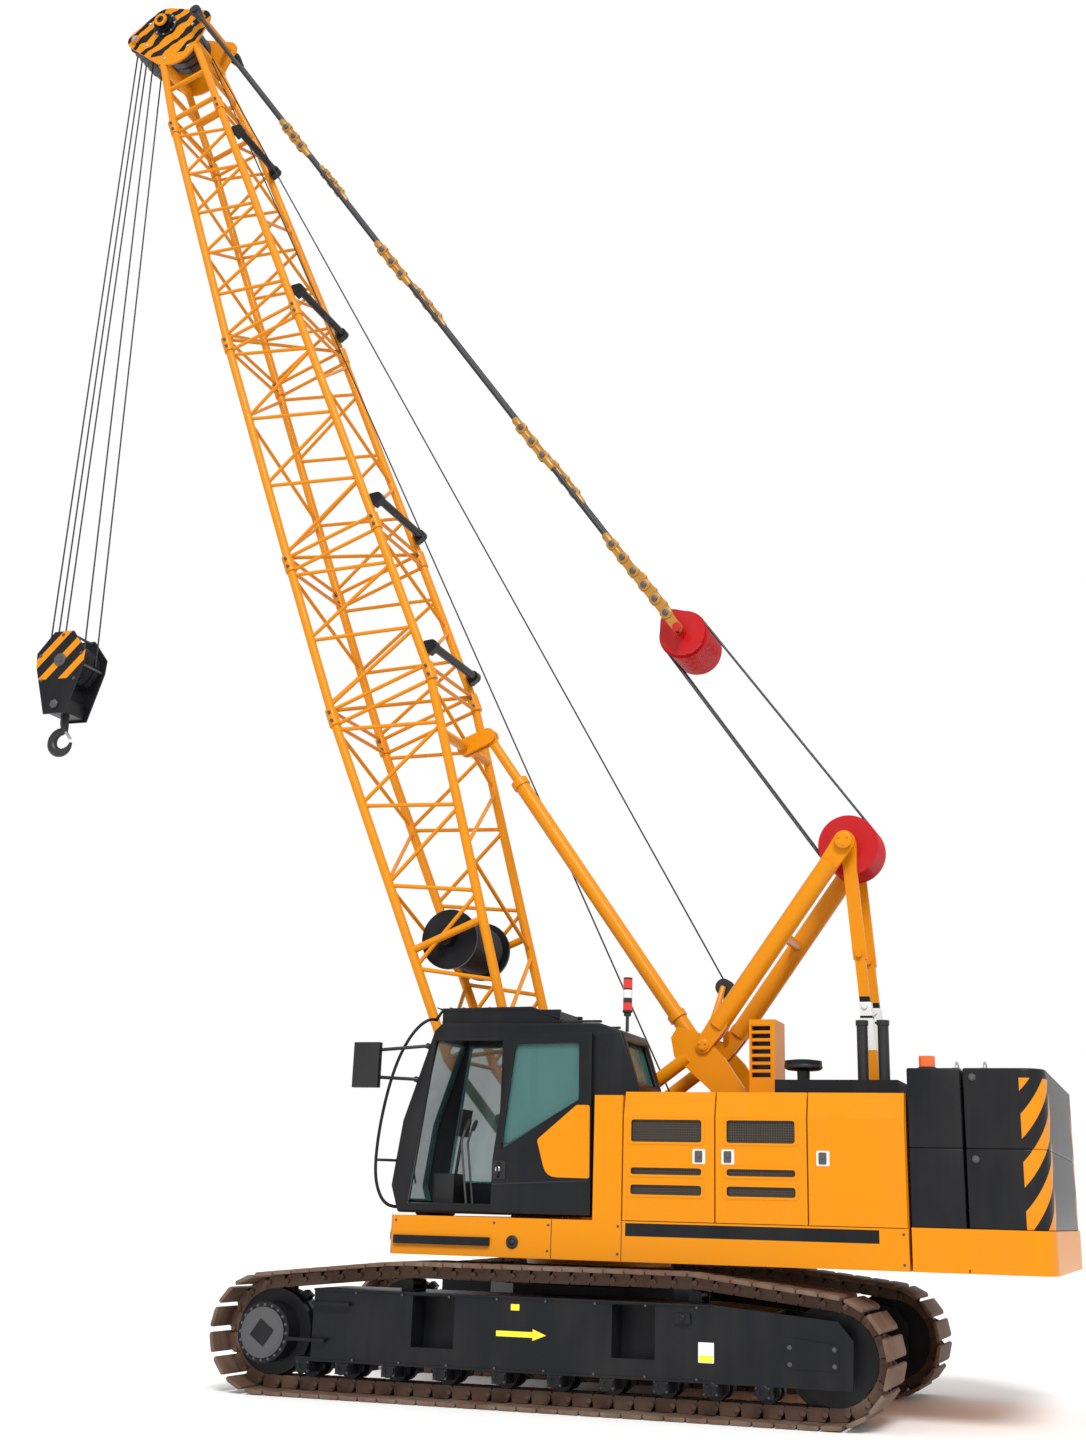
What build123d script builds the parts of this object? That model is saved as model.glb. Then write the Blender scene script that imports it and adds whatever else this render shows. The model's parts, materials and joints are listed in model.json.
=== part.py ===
from build123d import *
import math
import os

# A crawler crane with a lattice boom, in millimetres.
# +X points forward along the boom, +Y to the cab side, +Z up.
# The origin is on the ground, on the slewing axis, midway between the tracks.

# ---------------------------------------------------------------- tracks
track_centre_y = 1320.0     # track centre line from the machine's centre line
shoe_width = 760.0
wheel_x = 2300.0            # sprocket axis in front, idler axis behind
track_end_radius = 454.5    # over the shoes, round the sprocket and the idler
shoe_depth = 85.0           # pitch line to the outer face of a shoe
shoe_count = 70
shoe_gap = 14.0
shoe_plate = 45.0           # thickness of the band of shoes
shoe_notch = 30.0
link_depth = 45.0           # pitch line to the rail that the rollers run on
rail_width = 60.0
rail_offset = 85.0          # each link rail from the track's centre
carrier_x = (1150.0, -1250.0)
carrier_drop = 30.0         # carrier rail radius of bend
track_top = 1025.0          # outer face of the upper run
seat_gap = 0.3              # clearance between parts that run on each other

roller_radius = 88.0
roller_length = 250.0
roller_cap_radius = 55.0
roller_cap_length = 440.0
roller_x = (1940.0, 1596.0, 1196.0, 759.0, 270.0, -180.0, -600.0, -1019.0, -1400.0, -1791.0)
carrier_radius = 42.0

frame_width = 600.0         # over the two side plates
frame_plate = 20.0
frame_front_x = 1870.0
frame_floor = 262.0
frame_top = 800.0
window_x = ((1011.0, 654.0), (-634.0, -974.0))
window_z = (372.0, 775.0)
window_depth = 250.0
sill_bar = 30.0

# ---------------------------------------------------------------- carbody and slewing ring
carbody_half = 800.0
carbody_floor = 360.0
carbody_roof = 860.0
axle_x = 620.0              # front and rear axle beams of the carbody
axle_width = 360.0
axle_floor = 400.0
axle_roof = 760.0
ring_radius = 640.0
ring_bore = 500.0
ring_top = 1005.0
ring_gap = 0.5             # between the ring and the revolving frame

# ---------------------------------------------------------------- revolving frame
deck_front = 1302.0
deck_rear = -2877.0
deck_half = 1496.4
deck_floor = 1075.0
deck_top = 1370.0
deck_plate = 30.0
deck_wall = 40.0
beam_half = 640.0           # half width over the two main beams
beam_wall = 60.0
tail_half = 440.0           # beam that carries the counterweight
tail_rear = -3780.0
tail_floor = 1180.0
tail_top = 1330.0
step_x = (1255.0, 430.0)
step_z = (1156.0, 1220.0)
step_reach = 28.0

# ---------------------------------------------------------------- boom geometry
boom_angle = 68.05          # parked angle above the horizontal
boom_foot = (346.0, 1624.0)  # X and Z of the foot pin
boom_width = 1157.0         # between chord centres, over the lower sections
base_length = 4790.0
short_end = 6550.0
long_end = 9345.0
top_end = 12560.0
depth_base = 1066.0
depth_short = 993.0
depth_long = 844.0
depth_top = 600.0
top_width = 930.0
chord_radius = 44.0
brace_radius = 19.0
collar_radius = 58.0
collar_length = 90.0
foot_eye_radius = 95.0
foot_eye_width = 80.0
foot_pin_radius = 40.0
lug_gap = 6.0
lug_plate = 40.0

# head, in the boom's own axes: along the boom, then forward of its centre line
head_plate_y = 330.0
head_plate = 25.0
hub_at = (14230.0, 60.0)
front_pin_at = (14250.0, 470.0)
rear_pin_at = (14030.0, -400.0)
head_belly_at = (13960.0, 30.0)
head_belly_radius = 350.0
hub_boss_radius = 240.0
lobe_radius = 115.0
head_chord_top = 13720.0
head_chord_front = 250.0
head_chord_rear = -215.0
head_chord_y = 285.0
head_sheave_radius = 270.0
guide_sheave_radius = 130.0

# ---------------------------------------------------------------- gantry and suspension
gantry_peak = (-2278.0, 4506.0)
gantry_leg_y = 380.0
gantry_foot = (-1030.0, 2790.0)
gantry_leg_radius = 85.0
rear_leg_y = 240.0
rear_leg_foot_x = -2550.0
column_x = (-1110.0, -1400.0)
suspension_y = 480.0
bridle_distance = 2520.0    # gantry peak to the bridle's axle
bridle_radius = 235.0
bridle_half = 330.0
gantry_sheave_radius = 265.0
gantry_sheave_half = 205.0
bridle_sheave_half = 270.0
luff_grooves = 4
groove_depth = 24.0
rope_radius = 11.0
pendant_radius = 24.0
pendant_pin_at = (14030.0, -400.0)
eye_radius = 70.0
eye_plate = 36.0

# ---------------------------------------------------------------- backstop
backstop_foot = (-840.0, 2860.0)
backstop_pin_at = (4150.0, -720.0)  # in the boom's own axes
backstop_tube_radius = 70.0
backstop_bore = 52.0
backstop_rod_radius = 46.0
backstop_show = 560.0       # rod that shows when the crane is parked
backstop_rod_inside = 1500.0
backstop_stroke_in = 420.0
gland_length = 70.0

# ---------------------------------------------------------------- hook
hook_block_z = 6830.0       # sheave axis of the hook block
hook_sheave_radius = 235.0
hook_cheek_y = 190.0
hook_cheek = 22.0
hook_sheave_half = 178.0
hook_grooves = 3
guide_half = 245.0
guide_grooves = 5
hoist_rope_radius = 9.0

# ---------------------------------------------------------------- machinery house
house_roof = 2339.0
bevel_z = 2150.0
bevel_in = 50.0
house_inner_y = 640.0
door_x = (-659.0, -1405.7, -2130.5, -2877.0)
door_thick = 40.0
door_gap = 12.0
house_wall = 20.0

# ---------------------------------------------------------------- counterweight
tray_front = -2900.0
tray_seam = -3310.0
tray_rear = -3930.0
tray_top = 1381.0
slab_seam = 1942.0
slab_top = 2521.0
slab_gap = 20.0             # gap between the front and rear columns
corner_radius = 180.0

# ---------------------------------------------------------------- cab
cab_outer_y = 1400.0
cab_inner_y = 680.0
cab_wall = 45.0
cab_floor = 1390.0
cab_profile = [
    (1293, 1390), (1360, 1596), (1287, 2106), (1042, 2830), (973, 2894),
    (-410, 2884), (-607, 2819), (-749, 2376), (-749, 1390),
]
slide_gap = 5.0
cab_door_thick = 50.0
cab_door_outline = [(455, 1402), (455, 1800), (325, 2800), (-369, 2800), (-387, 1402)]
cab_door_window = [(277, 2697), (-252, 2711), (-263, 2289), (366, 1913)]
glass = 6.0
glass_lap = 14.0

angle = math.radians(boom_angle)
boom_dir = Vector(math.cos(angle), 0, math.sin(angle))
boom_out = Vector(math.sin(angle), 0, -math.cos(angle))


def at_boom(along, out, y=0.0):
    """Point given in the boom's own axes: along it, forward of its centre line, and across."""
    foot = Vector(boom_foot[0], y, boom_foot[1])
    return foot + boom_dir * along + boom_out * out


def side(y):
    """Side plane at y, seen from the left: sketch x is X, sketch y is Z, and it extrudes to -Y."""
    return Plane.XZ.offset(-y)


def boom_side(y):
    """Side plane at y in the boom's axes: sketch x is forward of the boom, sketch y is along it."""
    return Plane(origin=at_boom(0, 0, y), x_dir=boom_out, z_dir=(0, -1, 0))


def block(x, y, z, mode=Mode.ADD):
    """Box between two X, two Y and two Z values."""
    with Locations((sum(x) / 2, sum(y) / 2, sum(z) / 2)):
        Box(abs(x[1] - x[0]), abs(y[1] - y[0]), abs(z[1] - z[0]), mode=mode)


def plate(outline, y, mode=Mode.ADD, plane=side):
    """Plate with this outline in side view, between two Y values."""
    with BuildSketch(plane(max(y))) as profile:
        with BuildLine():
            Polyline(*outline, close=True)
        make_face()
    extrude(profile.sketch, amount=abs(y[1] - y[0]), mode=mode)


def hull_plate(discs, y, mode=Mode.ADD, plane=side):
    """Plate whose outline wraps some discs, each (x, z, radius), between two Y values."""
    with BuildSketch(plane(max(y))) as profile:
        for x, z, radius in discs:
            with Locations((x, z)):
                Circle(radius)
        make_hull()
    extrude(profile.sketch, amount=abs(y[1] - y[0]), mode=mode)


def disc(x, z, radius, y, mode=Mode.ADD, plane=side):
    """Round bar across the machine, between two Y values."""
    with BuildSketch(plane(max(y))) as profile:
        with Locations((x, z)):
            Circle(radius)
    extrude(profile.sketch, amount=abs(y[1] - y[0]), mode=mode)


def grooved_drum(x, z, radius, half, grooves, groove_depth):
    """Stack of rope sheaves across the machine, centred on Y = 0, as one turned part."""
    pitch = 2 * half / grooves
    profile = [(0, half), (radius, half)]
    for i in range(grooves):
        edge = half - i * pitch
        profile += [(radius - groove_depth, edge - pitch / 2), (radius, edge - pitch)]
    profile += [(0, -half)]
    with BuildSketch(Plane((x, 0, z))) as section:
        with BuildLine():
            Polyline(*profile, close=True)
        make_face()
    revolve(section.sketch, axis=Axis((x, 0, z), (0, 1, 0)))


def in_groove(radius, half, grooves, groove_depth, rope):
    """Distance from a drum's axis to the centre of a rope of this radius that lies in its groove."""
    flank = math.atan2(groove_depth, half / grooves)
    return radius - groove_depth + (rope + seat_gap) / math.cos(flank)


def tube(start, end, radius):
    """Round bar from one point to another, as a loose part."""
    start, end = Vector(*start), Vector(*end)
    bar = Cylinder(radius, (end - start).length, align=(Align.CENTER, Align.CENTER, Align.MIN),
                   mode=Mode.PRIVATE)
    return Plane(origin=start, z_dir=end - start) * bar


def both_sides(points):
    """The same points on the left and on the right of the machine."""
    return [[(x, y * sign, z) for x, y, z in points] for sign in (1, -1)]


pieces = {}

# ================================================================ undercarriage
wheel_z = track_end_radius
pitch_radius = track_end_radius - shoe_depth
carrier_z = track_top - shoe_depth - carrier_drop

with BuildSketch(Plane.XZ) as pitch_loop:
    with Locations((wheel_x, wheel_z), (-wheel_x, wheel_z)):
        Circle(pitch_radius)
    with Locations(*[(x, carrier_z) for x in carrier_x]):
        Circle(carrier_drop)
    make_hull()
pitch_wire = pitch_loop.sketch_local.face().outer_wire()
joints_at = [pitch_wire.position_at(i / shoe_count) for i in range(shoe_count)]
joints_after = joints_at[1:] + joints_at[:1]
loop_turn = sum(a.X * b.Y - b.X * a.Y for a, b in zip(joints_at, joints_after))
outward = math.copysign(1, loop_turn)


def shoe_outline():
    """Outer outline of the track: for each shoe its two outer corners and the notch after it."""
    points = []
    for start, end in zip(joints_at, joints_after):
        run = (end - start).normalized()
        out = Vector(run.Y, -run.X) * outward
        first = start + run * shoe_gap / 2 + out * shoe_depth
        last = end - run * shoe_gap / 2 + out * shoe_depth
        notch = end + out * (shoe_depth - shoe_notch)
        points += [(p.X, p.Y) for p in (first, last, notch)]
    return points


with BuildPart() as track_left:
    with BuildSketch(side(track_centre_y + shoe_width / 2)):
        with BuildLine():
            Polyline(*shoe_outline(), close=True)
        make_face()
        with BuildSketch(mode=Mode.SUBTRACT):
            add(pitch_loop.sketch_local)
            offset(amount=shoe_depth - shoe_plate)
    extrude(amount=shoe_width)
    for rail_y in (rail_offset, -rail_offset):
        with BuildSketch(side(track_centre_y + rail_y + rail_width / 2)):
            add(pitch_loop.sketch_local)
            offset(amount=shoe_depth - shoe_plate)
            with BuildSketch(mode=Mode.SUBTRACT):
                add(pitch_loop.sketch_local)
                offset(amount=-link_depth)
        extrude(amount=rail_width)
pieces["track_left"] = track_left


# sprockets: toothed disc between the link rails, a rim under each rail, and the final drive
sprocket_teeth = 14
tooth_tip = 378.0
tooth_root = 335.0
tooth_width = 66.0
tooth_disc = 90.0
rim_radius = pitch_radius - link_depth - seat_gap
rim_width = 2 * rail_offset + rail_width
drive_radius = 228.0
drive_cap_radius = 180.0
drive_outer_y = 325.0       # outer face of the final drive from the track's centre
arm_inner_y = -280.0
arm_outer_y = -200.0
arm_radius = 200.0
hub_plate = 150.0

with BuildPart() as sprockets:
    with BuildSketch(side(track_centre_y + tooth_disc / 2)):
        with Locations((wheel_x, wheel_z)):
            Circle(tooth_root)
            with PolarLocations((tooth_tip + tooth_root) / 2 - 10, sprocket_teeth):
                Rectangle(tooth_tip - tooth_root + 20, tooth_width)
    extrude(amount=tooth_disc)
    for radius, y in (
        (rim_radius, (rim_width / 2, -rim_width / 2)),
        (drive_radius, (drive_outer_y - 15, arm_outer_y)),
        (drive_cap_radius, (drive_outer_y, drive_outer_y - 15)),
    ):
        disc(wheel_x, wheel_z, radius, [track_centre_y + v for v in y])
    with BuildSketch(side(track_centre_y + drive_outer_y + 12)):
        with Locations(Location((wheel_x, wheel_z, 0), (0, 0, 35))):
            Rectangle(hub_plate, hub_plate)
    extrude(amount=12)
    mirror(about=Plane.XZ)
pieces["sprockets"] = sprockets

idler_flange = 388.0
idler_axle_radius = 60.0
with BuildPart() as idlers:
    for radius, half in (
        (rim_radius, rim_width / 2),
        (idler_flange, tooth_disc / 2),
        (idler_axle_radius, frame_width / 2 - frame_plate),
    ):
        disc(-wheel_x, wheel_z, radius, (track_centre_y + half, track_centre_y - half))
    mirror(about=Plane.XZ)
pieces["idlers"] = idlers

# bottom rollers hang under the frame by square caps, carrier rollers stand on it in forks
roller_z = shoe_depth + link_depth + seat_gap + roller_radius
roller_shaft = 45.0
tread_inner = rail_offset - rail_width / 2 - 5
cap_floor = 175.0
cap_width = 118.0
cap_reach = 286.0
carrier_axle_z = track_top - shoe_depth - link_depth - seat_gap - carrier_radius
carrier_inset = 12.0
fork_plate = 18.0
with BuildPart() as rollers:
    for x in roller_x:
        disc(x, roller_z, roller_shaft, (track_centre_y + rim_width / 2, track_centre_y - rim_width / 2))
        for sign in (1, -1):
            y = [track_centre_y + sign * v for v in (rim_width / 2, tread_inner)]
            disc(x, roller_z, roller_radius, y)
            y = [track_centre_y + sign * v for v in (rim_width / 2 - 5, cap_reach)]
            block((x - cap_width / 2, x + cap_width / 2), y, (cap_floor, frame_floor))
    for bend in carrier_x:
        x = bend - math.copysign(carrier_inset, bend)
        y = [track_centre_y + v for v in (rim_width / 2, -rim_width / 2)]
        disc(x, carrier_axle_z, carrier_radius, y)
        for sign in (1, -1):
            y = [track_centre_y + sign * v for v in (rim_width / 2, rim_width / 2 + fork_plate)]
            block((x - 50, x + 50), y, (frame_top, carrier_axle_z + 30))
    mirror(about=Plane.XZ)
pieces["rollers"] = rollers

frame_rear = [(-1400, frame_top), (-2360, 722), (-2470, 593), (-2459, frame_floor)]
channel_half = 140.0
channel_roof = 330.0
idler_slot_front = -1860.0
with BuildPart() as track_frame_left:
    y_out = track_centre_y + frame_width / 2
    y_in = track_centre_y - frame_width / 2
    plate([(frame_front_x, frame_floor), (frame_front_x, frame_top)] + frame_rear, (y_out, y_in))
    block((frame_front_x + 1, -2500), (track_centre_y - channel_half, track_centre_y + channel_half),
          (frame_floor - 1, channel_roof), mode=Mode.SUBTRACT)
    block((idler_slot_front, -2600), (y_out - frame_plate, y_in + frame_plate),
          (frame_floor - 1, frame_top + 1), mode=Mode.SUBTRACT)
    for x in window_x:
        block(x, (y_out + 1, y_out - window_depth), window_z, mode=Mode.SUBTRACT)
        block(x, (y_out, y_out - frame_plate), (window_z[0], window_z[0] + sill_bar))
    hull_plate([(wheel_x, wheel_z, arm_radius), (frame_front_x - 200, wheel_z + 60, drive_radius)],
               (track_centre_y + arm_outer_y, track_centre_y + arm_inner_y))
    # toe that carries the first roller
    for sign in (1, -1):
        y = [track_centre_y + sign * v for v in (channel_half, frame_width / 2)]
        block((frame_front_x, roller_x[0] + cap_width / 2 + 5), y, (frame_floor, frame_floor + 30))
    for z in (frame_floor, frame_top):
        outer = min(max(z, frame_floor), frame_top)
        block((frame_front_x, -1400), (y_out + 12, y_out), (outer, outer + (16 if z == frame_floor else -16)))
    # steps on the outer plate
    for x, z in ((1700, 690), (1900, 420)):
        for end in (-150, 150):
            block((x + end - 14, x + end + 14), (y_out + 45, y_out), (z - 14, z + 14))
        block((x - 164, x + 164), (y_out + 60, y_out + 40), (z - 12, z + 12))
pieces["track_frame_left"] = track_frame_left

for label in ("track", "track_frame"):
    with BuildPart() as right:
        mirror(pieces[label + "_left"].part, about=Plane.XZ)
    pieces[label + "_right"] = right

frame_inner_y = track_centre_y - frame_width / 2
with BuildPart() as carbody:
    block((-carbody_half, carbody_half), (-carbody_half, carbody_half), (carbody_floor, carbody_roof))
    chamfer(carbody.edges().filter_by(Axis.Z), 320)
    for x in (axle_x, -axle_x):
        block((x - axle_width / 2, x + axle_width / 2), (-frame_inner_y, frame_inner_y),
              (axle_floor, axle_roof))
    with Locations((0, 0, carbody_roof)):
        Cylinder(ring_bore - 60, 200, mode=Mode.SUBTRACT)
pieces["carbody"] = carbody

with BuildPart() as slew_ring:
    with BuildSketch(Plane.XY.offset(carbody_roof)):
        Circle(ring_radius)
        Circle(ring_bore, mode=Mode.SUBTRACT)
    extrude(amount=ring_top - carbody_roof)
pieces["slew_ring"] = slew_ring

# ================================================================ revolving frame
foot_x, foot_z = boom_foot
eye_half = foot_eye_width / 2
foot_lugs_y = [
    boom_width / 2 + sign * (eye_half + lug_gap + v) for sign in (1, -1) for v in (0, lug_plate)]
beacon_y = deck_half
with BuildPart() as revolving_frame:
    block((deck_rear, deck_front), (-deck_half, deck_half), (deck_floor, deck_top))
    inner_half = deck_half - deck_wall
    for y in ((beam_half, inner_half), (-beam_half, -inner_half),
              (beam_half - beam_wall, -(beam_half - beam_wall))):
        for x in ((deck_rear + deck_wall, -820), (820, deck_front - deck_wall)):
            block(x, y, (deck_floor - 1, deck_top - deck_plate), mode=Mode.SUBTRACT)
    with Locations((0, 0, (ring_top + ring_gap + deck_floor) / 2)):
        Cylinder(ring_radius - 20, deck_floor - ring_top - ring_gap)
    with Locations((0, 0, deck_floor)):
        Cylinder(ring_bore - 80, 400, mode=Mode.SUBTRACT)
    block((tail_rear, deck_rear), (-tail_half, tail_half), (tail_floor, tail_top))
    for sign in (1, -1):
        for first, last in (foot_lugs_y[:2], foot_lugs_y[2:]):
            hull_plate([(foot_x, foot_z, 105), (foot_x - 210, deck_top, 20), (foot_x + 210, deck_top, 20)],
                       (sign * first, sign * last))
        disc(foot_x, foot_z, foot_pin_radius, (sign * foot_lugs_y[1], sign * foot_lugs_y[3]))
    block(step_x, (deck_half, deck_half + step_reach), step_z)
    chamfer(revolving_frame.edges().filter_by(Axis.Z).filter_by_position(Axis.X, deck_front - 1, deck_front + 1), 30)
pieces["revolving_frame"] = revolving_frame

# ================================================================ gantry
peak_x, peak_z = gantry_peak
leg_foot_x, leg_foot_z = gantry_foot
stop_x, stop_z = backstop_foot
base_plate = 60.0
base_y = (gantry_leg_y - base_plate / 2, gantry_leg_y + base_plate / 2)
leg_pin_radius = 28.0
peak_shaft_radius = 45.0
with BuildPart() as gantry_base:
    for sign in (1, -1):
        y = [sign * v for v in base_y]
        plate([(column_x[0], deck_top), (column_x[0] + 20, 2420), (-770, 2700), (-740, 2860),
               (-800, 2950), (-1010, 2890), (-1200, 2700), (column_x[1] + 20, 2440),
               (column_x[1], deck_top)], y)
        disc(leg_foot_x, leg_foot_z, leg_pin_radius + seat_gap, y, mode=Mode.SUBTRACT)
        block((column_x[0] + 30, column_x[1] - 30), (sign * (base_y[0] - 80), sign * (base_y[1] + 80)),
              (deck_top, deck_top + 30))
        add(tube((-880, sign * gantry_leg_y, 2690), (180, sign * gantry_leg_y, 1935), 58))
        hull_plate([(180, 1935, 75), (60, deck_top + 20, 20), (260, deck_top + 20, 20)], y)
    disc(stop_x, stop_z, 30, (base_y[0], -base_y[0]))
    disc((column_x[0] + column_x[1]) / 2, 2250, 70, (base_y[0], -base_y[0]))
pieces["gantry_base"] = gantry_base

leg_start = Vector(leg_foot_x, 0, leg_foot_z)
leg_end = Vector(peak_x, 0, peak_z)
leg_dir = (leg_end - leg_start).normalized()
cheek = 26.0
with BuildPart() as gantry_front_legs:
    low = leg_start + leg_dir * 190
    high = leg_end - leg_dir * 230
    for sign in (1, -1):
        y = sign * gantry_leg_y
        add(tube((low.X, y, low.Z), (high.X, y, high.Z), gantry_leg_radius))
        for face in (base_y[0] - seat_gap, base_y[1] + seat_gap):
            out = -cheek if face < gantry_leg_y else cheek
            hull_plate([(leg_foot_x, leg_foot_z, 66), (low.X + leg_dir.X * 40, low.Z + leg_dir.Z * 40, 80)],
                       (sign * face, sign * (face + out)))
        disc(leg_foot_x, leg_foot_z, leg_pin_radius, (sign * (base_y[0] - cheek), sign * (base_y[1] + cheek)))
        hull_plate([(peak_x, peak_z, 92), (high.X - leg_dir.X * 40, high.Z - leg_dir.Z * 40, 78)],
                   (y - sign * 25, y + sign * 25))
    disc(peak_x, peak_z, peak_shaft_radius, (gantry_leg_y + 60, -gantry_leg_y - 60))
    middle = leg_start + leg_dir * 1150
    disc(middle.X, middle.Z, 45, (gantry_leg_y, -gantry_leg_y))
pieces["gantry_front_legs"] = gantry_front_legs

rear_leg_plate = 44.0
with BuildPart() as gantry_rear_legs:
    foot = Vector(rear_leg_foot_x, 0, deck_top)
    top = Vector(peak_x, 0, peak_z)
    run = (foot - top).normalized()
    reach = (foot - top).length
    stages = (  # from the peak, from, to, half width in X, half thickness in Y
        (0, 1000, 58, 22), (930, 1420, 44, 30), (1360, 2060, 52, 44), (2000, reach, 62, 52))
    for sign in (1, -1):
        for near, far, half, thick in stages:
            a, b = top + run * near, top + run * far
            y = (sign * rear_leg_y - thick, sign * rear_leg_y + thick)
            low_cut = 0 if far < reach else 8
            plate([(a.X - half, a.Z), (a.X + half, a.Z), (b.X + half, b.Z + low_cut * 0), (b.X - half, b.Z)], y)
        hull_plate([(peak_x, peak_z, 80), (peak_x - 20, peak_z - 200, 58)],
                   (sign * rear_leg_y - 22, sign * rear_leg_y + 22))
        disc(peak_x, peak_z, peak_shaft_radius + seat_gap,
             (sign * rear_leg_y - 60, sign * rear_leg_y + 60), mode=Mode.SUBTRACT)
        for d in (960, 1390):
            p = top + run * d
            disc(p.X, p.Z, 24, (sign * rear_leg_y - 62, sign * rear_leg_y + 62))
pieces["gantry_rear_legs"] = gantry_rear_legs

with BuildPart() as gantry_sheaves:
    grooved_drum(peak_x, peak_z, gantry_sheave_radius, gantry_sheave_half, luff_grooves, groove_depth)
    disc(peak_x, peak_z, peak_shaft_radius + seat_gap, (gantry_sheave_half + 1, -gantry_sheave_half - 1),
         mode=Mode.SUBTRACT)
pieces["gantry_sheaves"] = gantry_sheaves

# ================================================================ boom
def along_table(table, s):
    """Value at s in a table of (s, value) rows."""
    for (s0, v0), (s1, v1) in zip(table, table[1:]):
        if s0 <= s <= s1:
            return v0 + (v1 - v0) * (s - s0) / (s1 - s0)
    raise ValueError(s)


half_width = boom_width / 2
front_chord = [    # along the boom, then forward of its centre line
    (0, 0), (1300, 450), (base_length, depth_base / 2), (short_end, depth_short / 2),
    (long_end, depth_long / 2), (top_end, depth_top / 2), (head_chord_top, head_chord_front)]
rear_chord = [
    (0, 0), (base_length, -depth_base / 2), (short_end, -depth_short / 2),
    (long_end, -depth_long / 2), (top_end, -depth_top / 2), (head_chord_top, head_chord_rear)]
chord_half = [     # along the boom, then out to each side
    (0, half_width), (long_end, half_width), (top_end, top_width / 2), (head_chord_top, head_chord_y)]


def on_chord(chord, s, sign):
    """Point on one chord at s, on the left (1) or right (-1)."""
    return at_boom(s, along_table(chord, s), sign * along_table(chord_half, s))


def chords(start, end, radius=chord_radius):
    """The four chords between two places along the boom, as loose bars, mitred where they bend."""
    bars = []
    for chord in (front_chord, rear_chord):
        stops = [start] + [s for s, _ in chord if start < s < end] + [end]
        for s0, s1 in zip(stops, stops[1:]):
            for sign in (1, -1):
                bars.append(tube(on_chord(chord, s0, sign), on_chord(chord, s1, sign), radius))
        for s in stops[1:-1]:
            for sign in (1, -1):
                bars.append(Pos(*on_chord(chord, s, sign)) * Sphere(radius, mode=Mode.PRIVATE))
    return bars


def end_frame(s, radius=brace_radius):
    """Four bars that tie the chords together square to the boom."""
    corners = [on_chord(front_chord, s, 1), on_chord(front_chord, s, -1),
               on_chord(rear_chord, s, -1), on_chord(rear_chord, s, 1)]
    return [tube(p, q, radius) for p, q in zip(corners, corners[1:] + corners[:1])]


def lattice(bays, start, end):
    """Braces of one boom section, as loose bars: zigzags on its sides, front and back."""
    bars = end_frame(start - 40) + end_frame(end + 40)
    bars.append(tube(on_chord(front_chord, start - 40, 1), on_chord(rear_chord, start - 40, -1), brace_radius))
    steps = [start + (end - start) * i / (2 * bays) for i in range(2 * bays + 1)]
    for sign in (1, -1):
        for i, (s0, s1) in enumerate(zip(steps, steps[1:])):
            first, last = (front_chord, rear_chord) if i % 2 == 0 else (rear_chord, front_chord)
            bars.append(tube(on_chord(first, s0 + 12, sign), on_chord(last, s1 - 12, sign), brace_radius))
    for chord in (front_chord, rear_chord):
        for i, (s0, s1) in enumerate(zip(steps[::2], steps[2::2])):
            sign = 1 if i % 2 == 0 else -1
            bars.append(tube(on_chord(chord, s0 + 30, sign), on_chord(chord, s1 - 30, -sign), brace_radius))
    return bars


def collars(s, toward):
    """Pin collars on the four chords at a section's end, flush with the joint at s."""
    bars = []
    for chord in (front_chord, rear_chord):
        v, y = along_table(chord, s), along_table(chord_half, s)
        for sign in (1, -1):
            bars.append(tube(at_boom(s, v, sign * y), at_boom(s + toward * collar_length, v, sign * y),
                             collar_radius))
    return bars


ear_y = (31.0, 56.0)
pin_s, pin_v = backstop_pin_at
ear_bar_v = along_table(rear_chord, pin_s)
drum_s, drum_v = 2341.0, 150.0
chord_end = 10.0            # chords stop this far inside their collars' faces

with BuildPart() as boom_base:
    add(chords(0, base_length - chord_end) + lattice(4, 1350, base_length - 120) + collars(base_length, -1)
        + [tube(on_chord(front_chord, drum_s, sign), on_chord(rear_chord, drum_s, sign), 34)
           for sign in (1, -1)]
        + [tube(on_chord(rear_chord, pin_s, 1), on_chord(rear_chord, pin_s, -1), 48)])
    for sign in (1, -1):
        disc(0, 0, foot_eye_radius, (sign * (half_width - eye_half), sign * (half_width + eye_half)),
             plane=boom_side)
        disc(0, 0, foot_pin_radius + seat_gap,
             (sign * (half_width - eye_half - 50), sign * (half_width + eye_half + 50)),
             mode=Mode.SUBTRACT, plane=boom_side)
        hull_plate([(pin_v, pin_s, 78), (ear_bar_v + 10, pin_s - 20, 60), (ear_bar_v + 10, pin_s + 20, 60)],
                   (sign * ear_y[0], sign * ear_y[1]), plane=boom_side)
pieces["boom_base"] = boom_base

for label, start, end, bays in (
    ("boom_insert_short", base_length, short_end, 2),
    ("boom_insert_long", short_end, long_end, 3),
    ("boom_top", long_end, top_end, 5),
):
    with BuildPart() as section:
        add(chords(start + chord_end, end - chord_end) + lattice(bays, start + 120, end - 120)
            + collars(start, 1) + collars(end, -1))
    pieces[label] = section

head_boss = 22.0
pin_gap = 6.0

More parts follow.
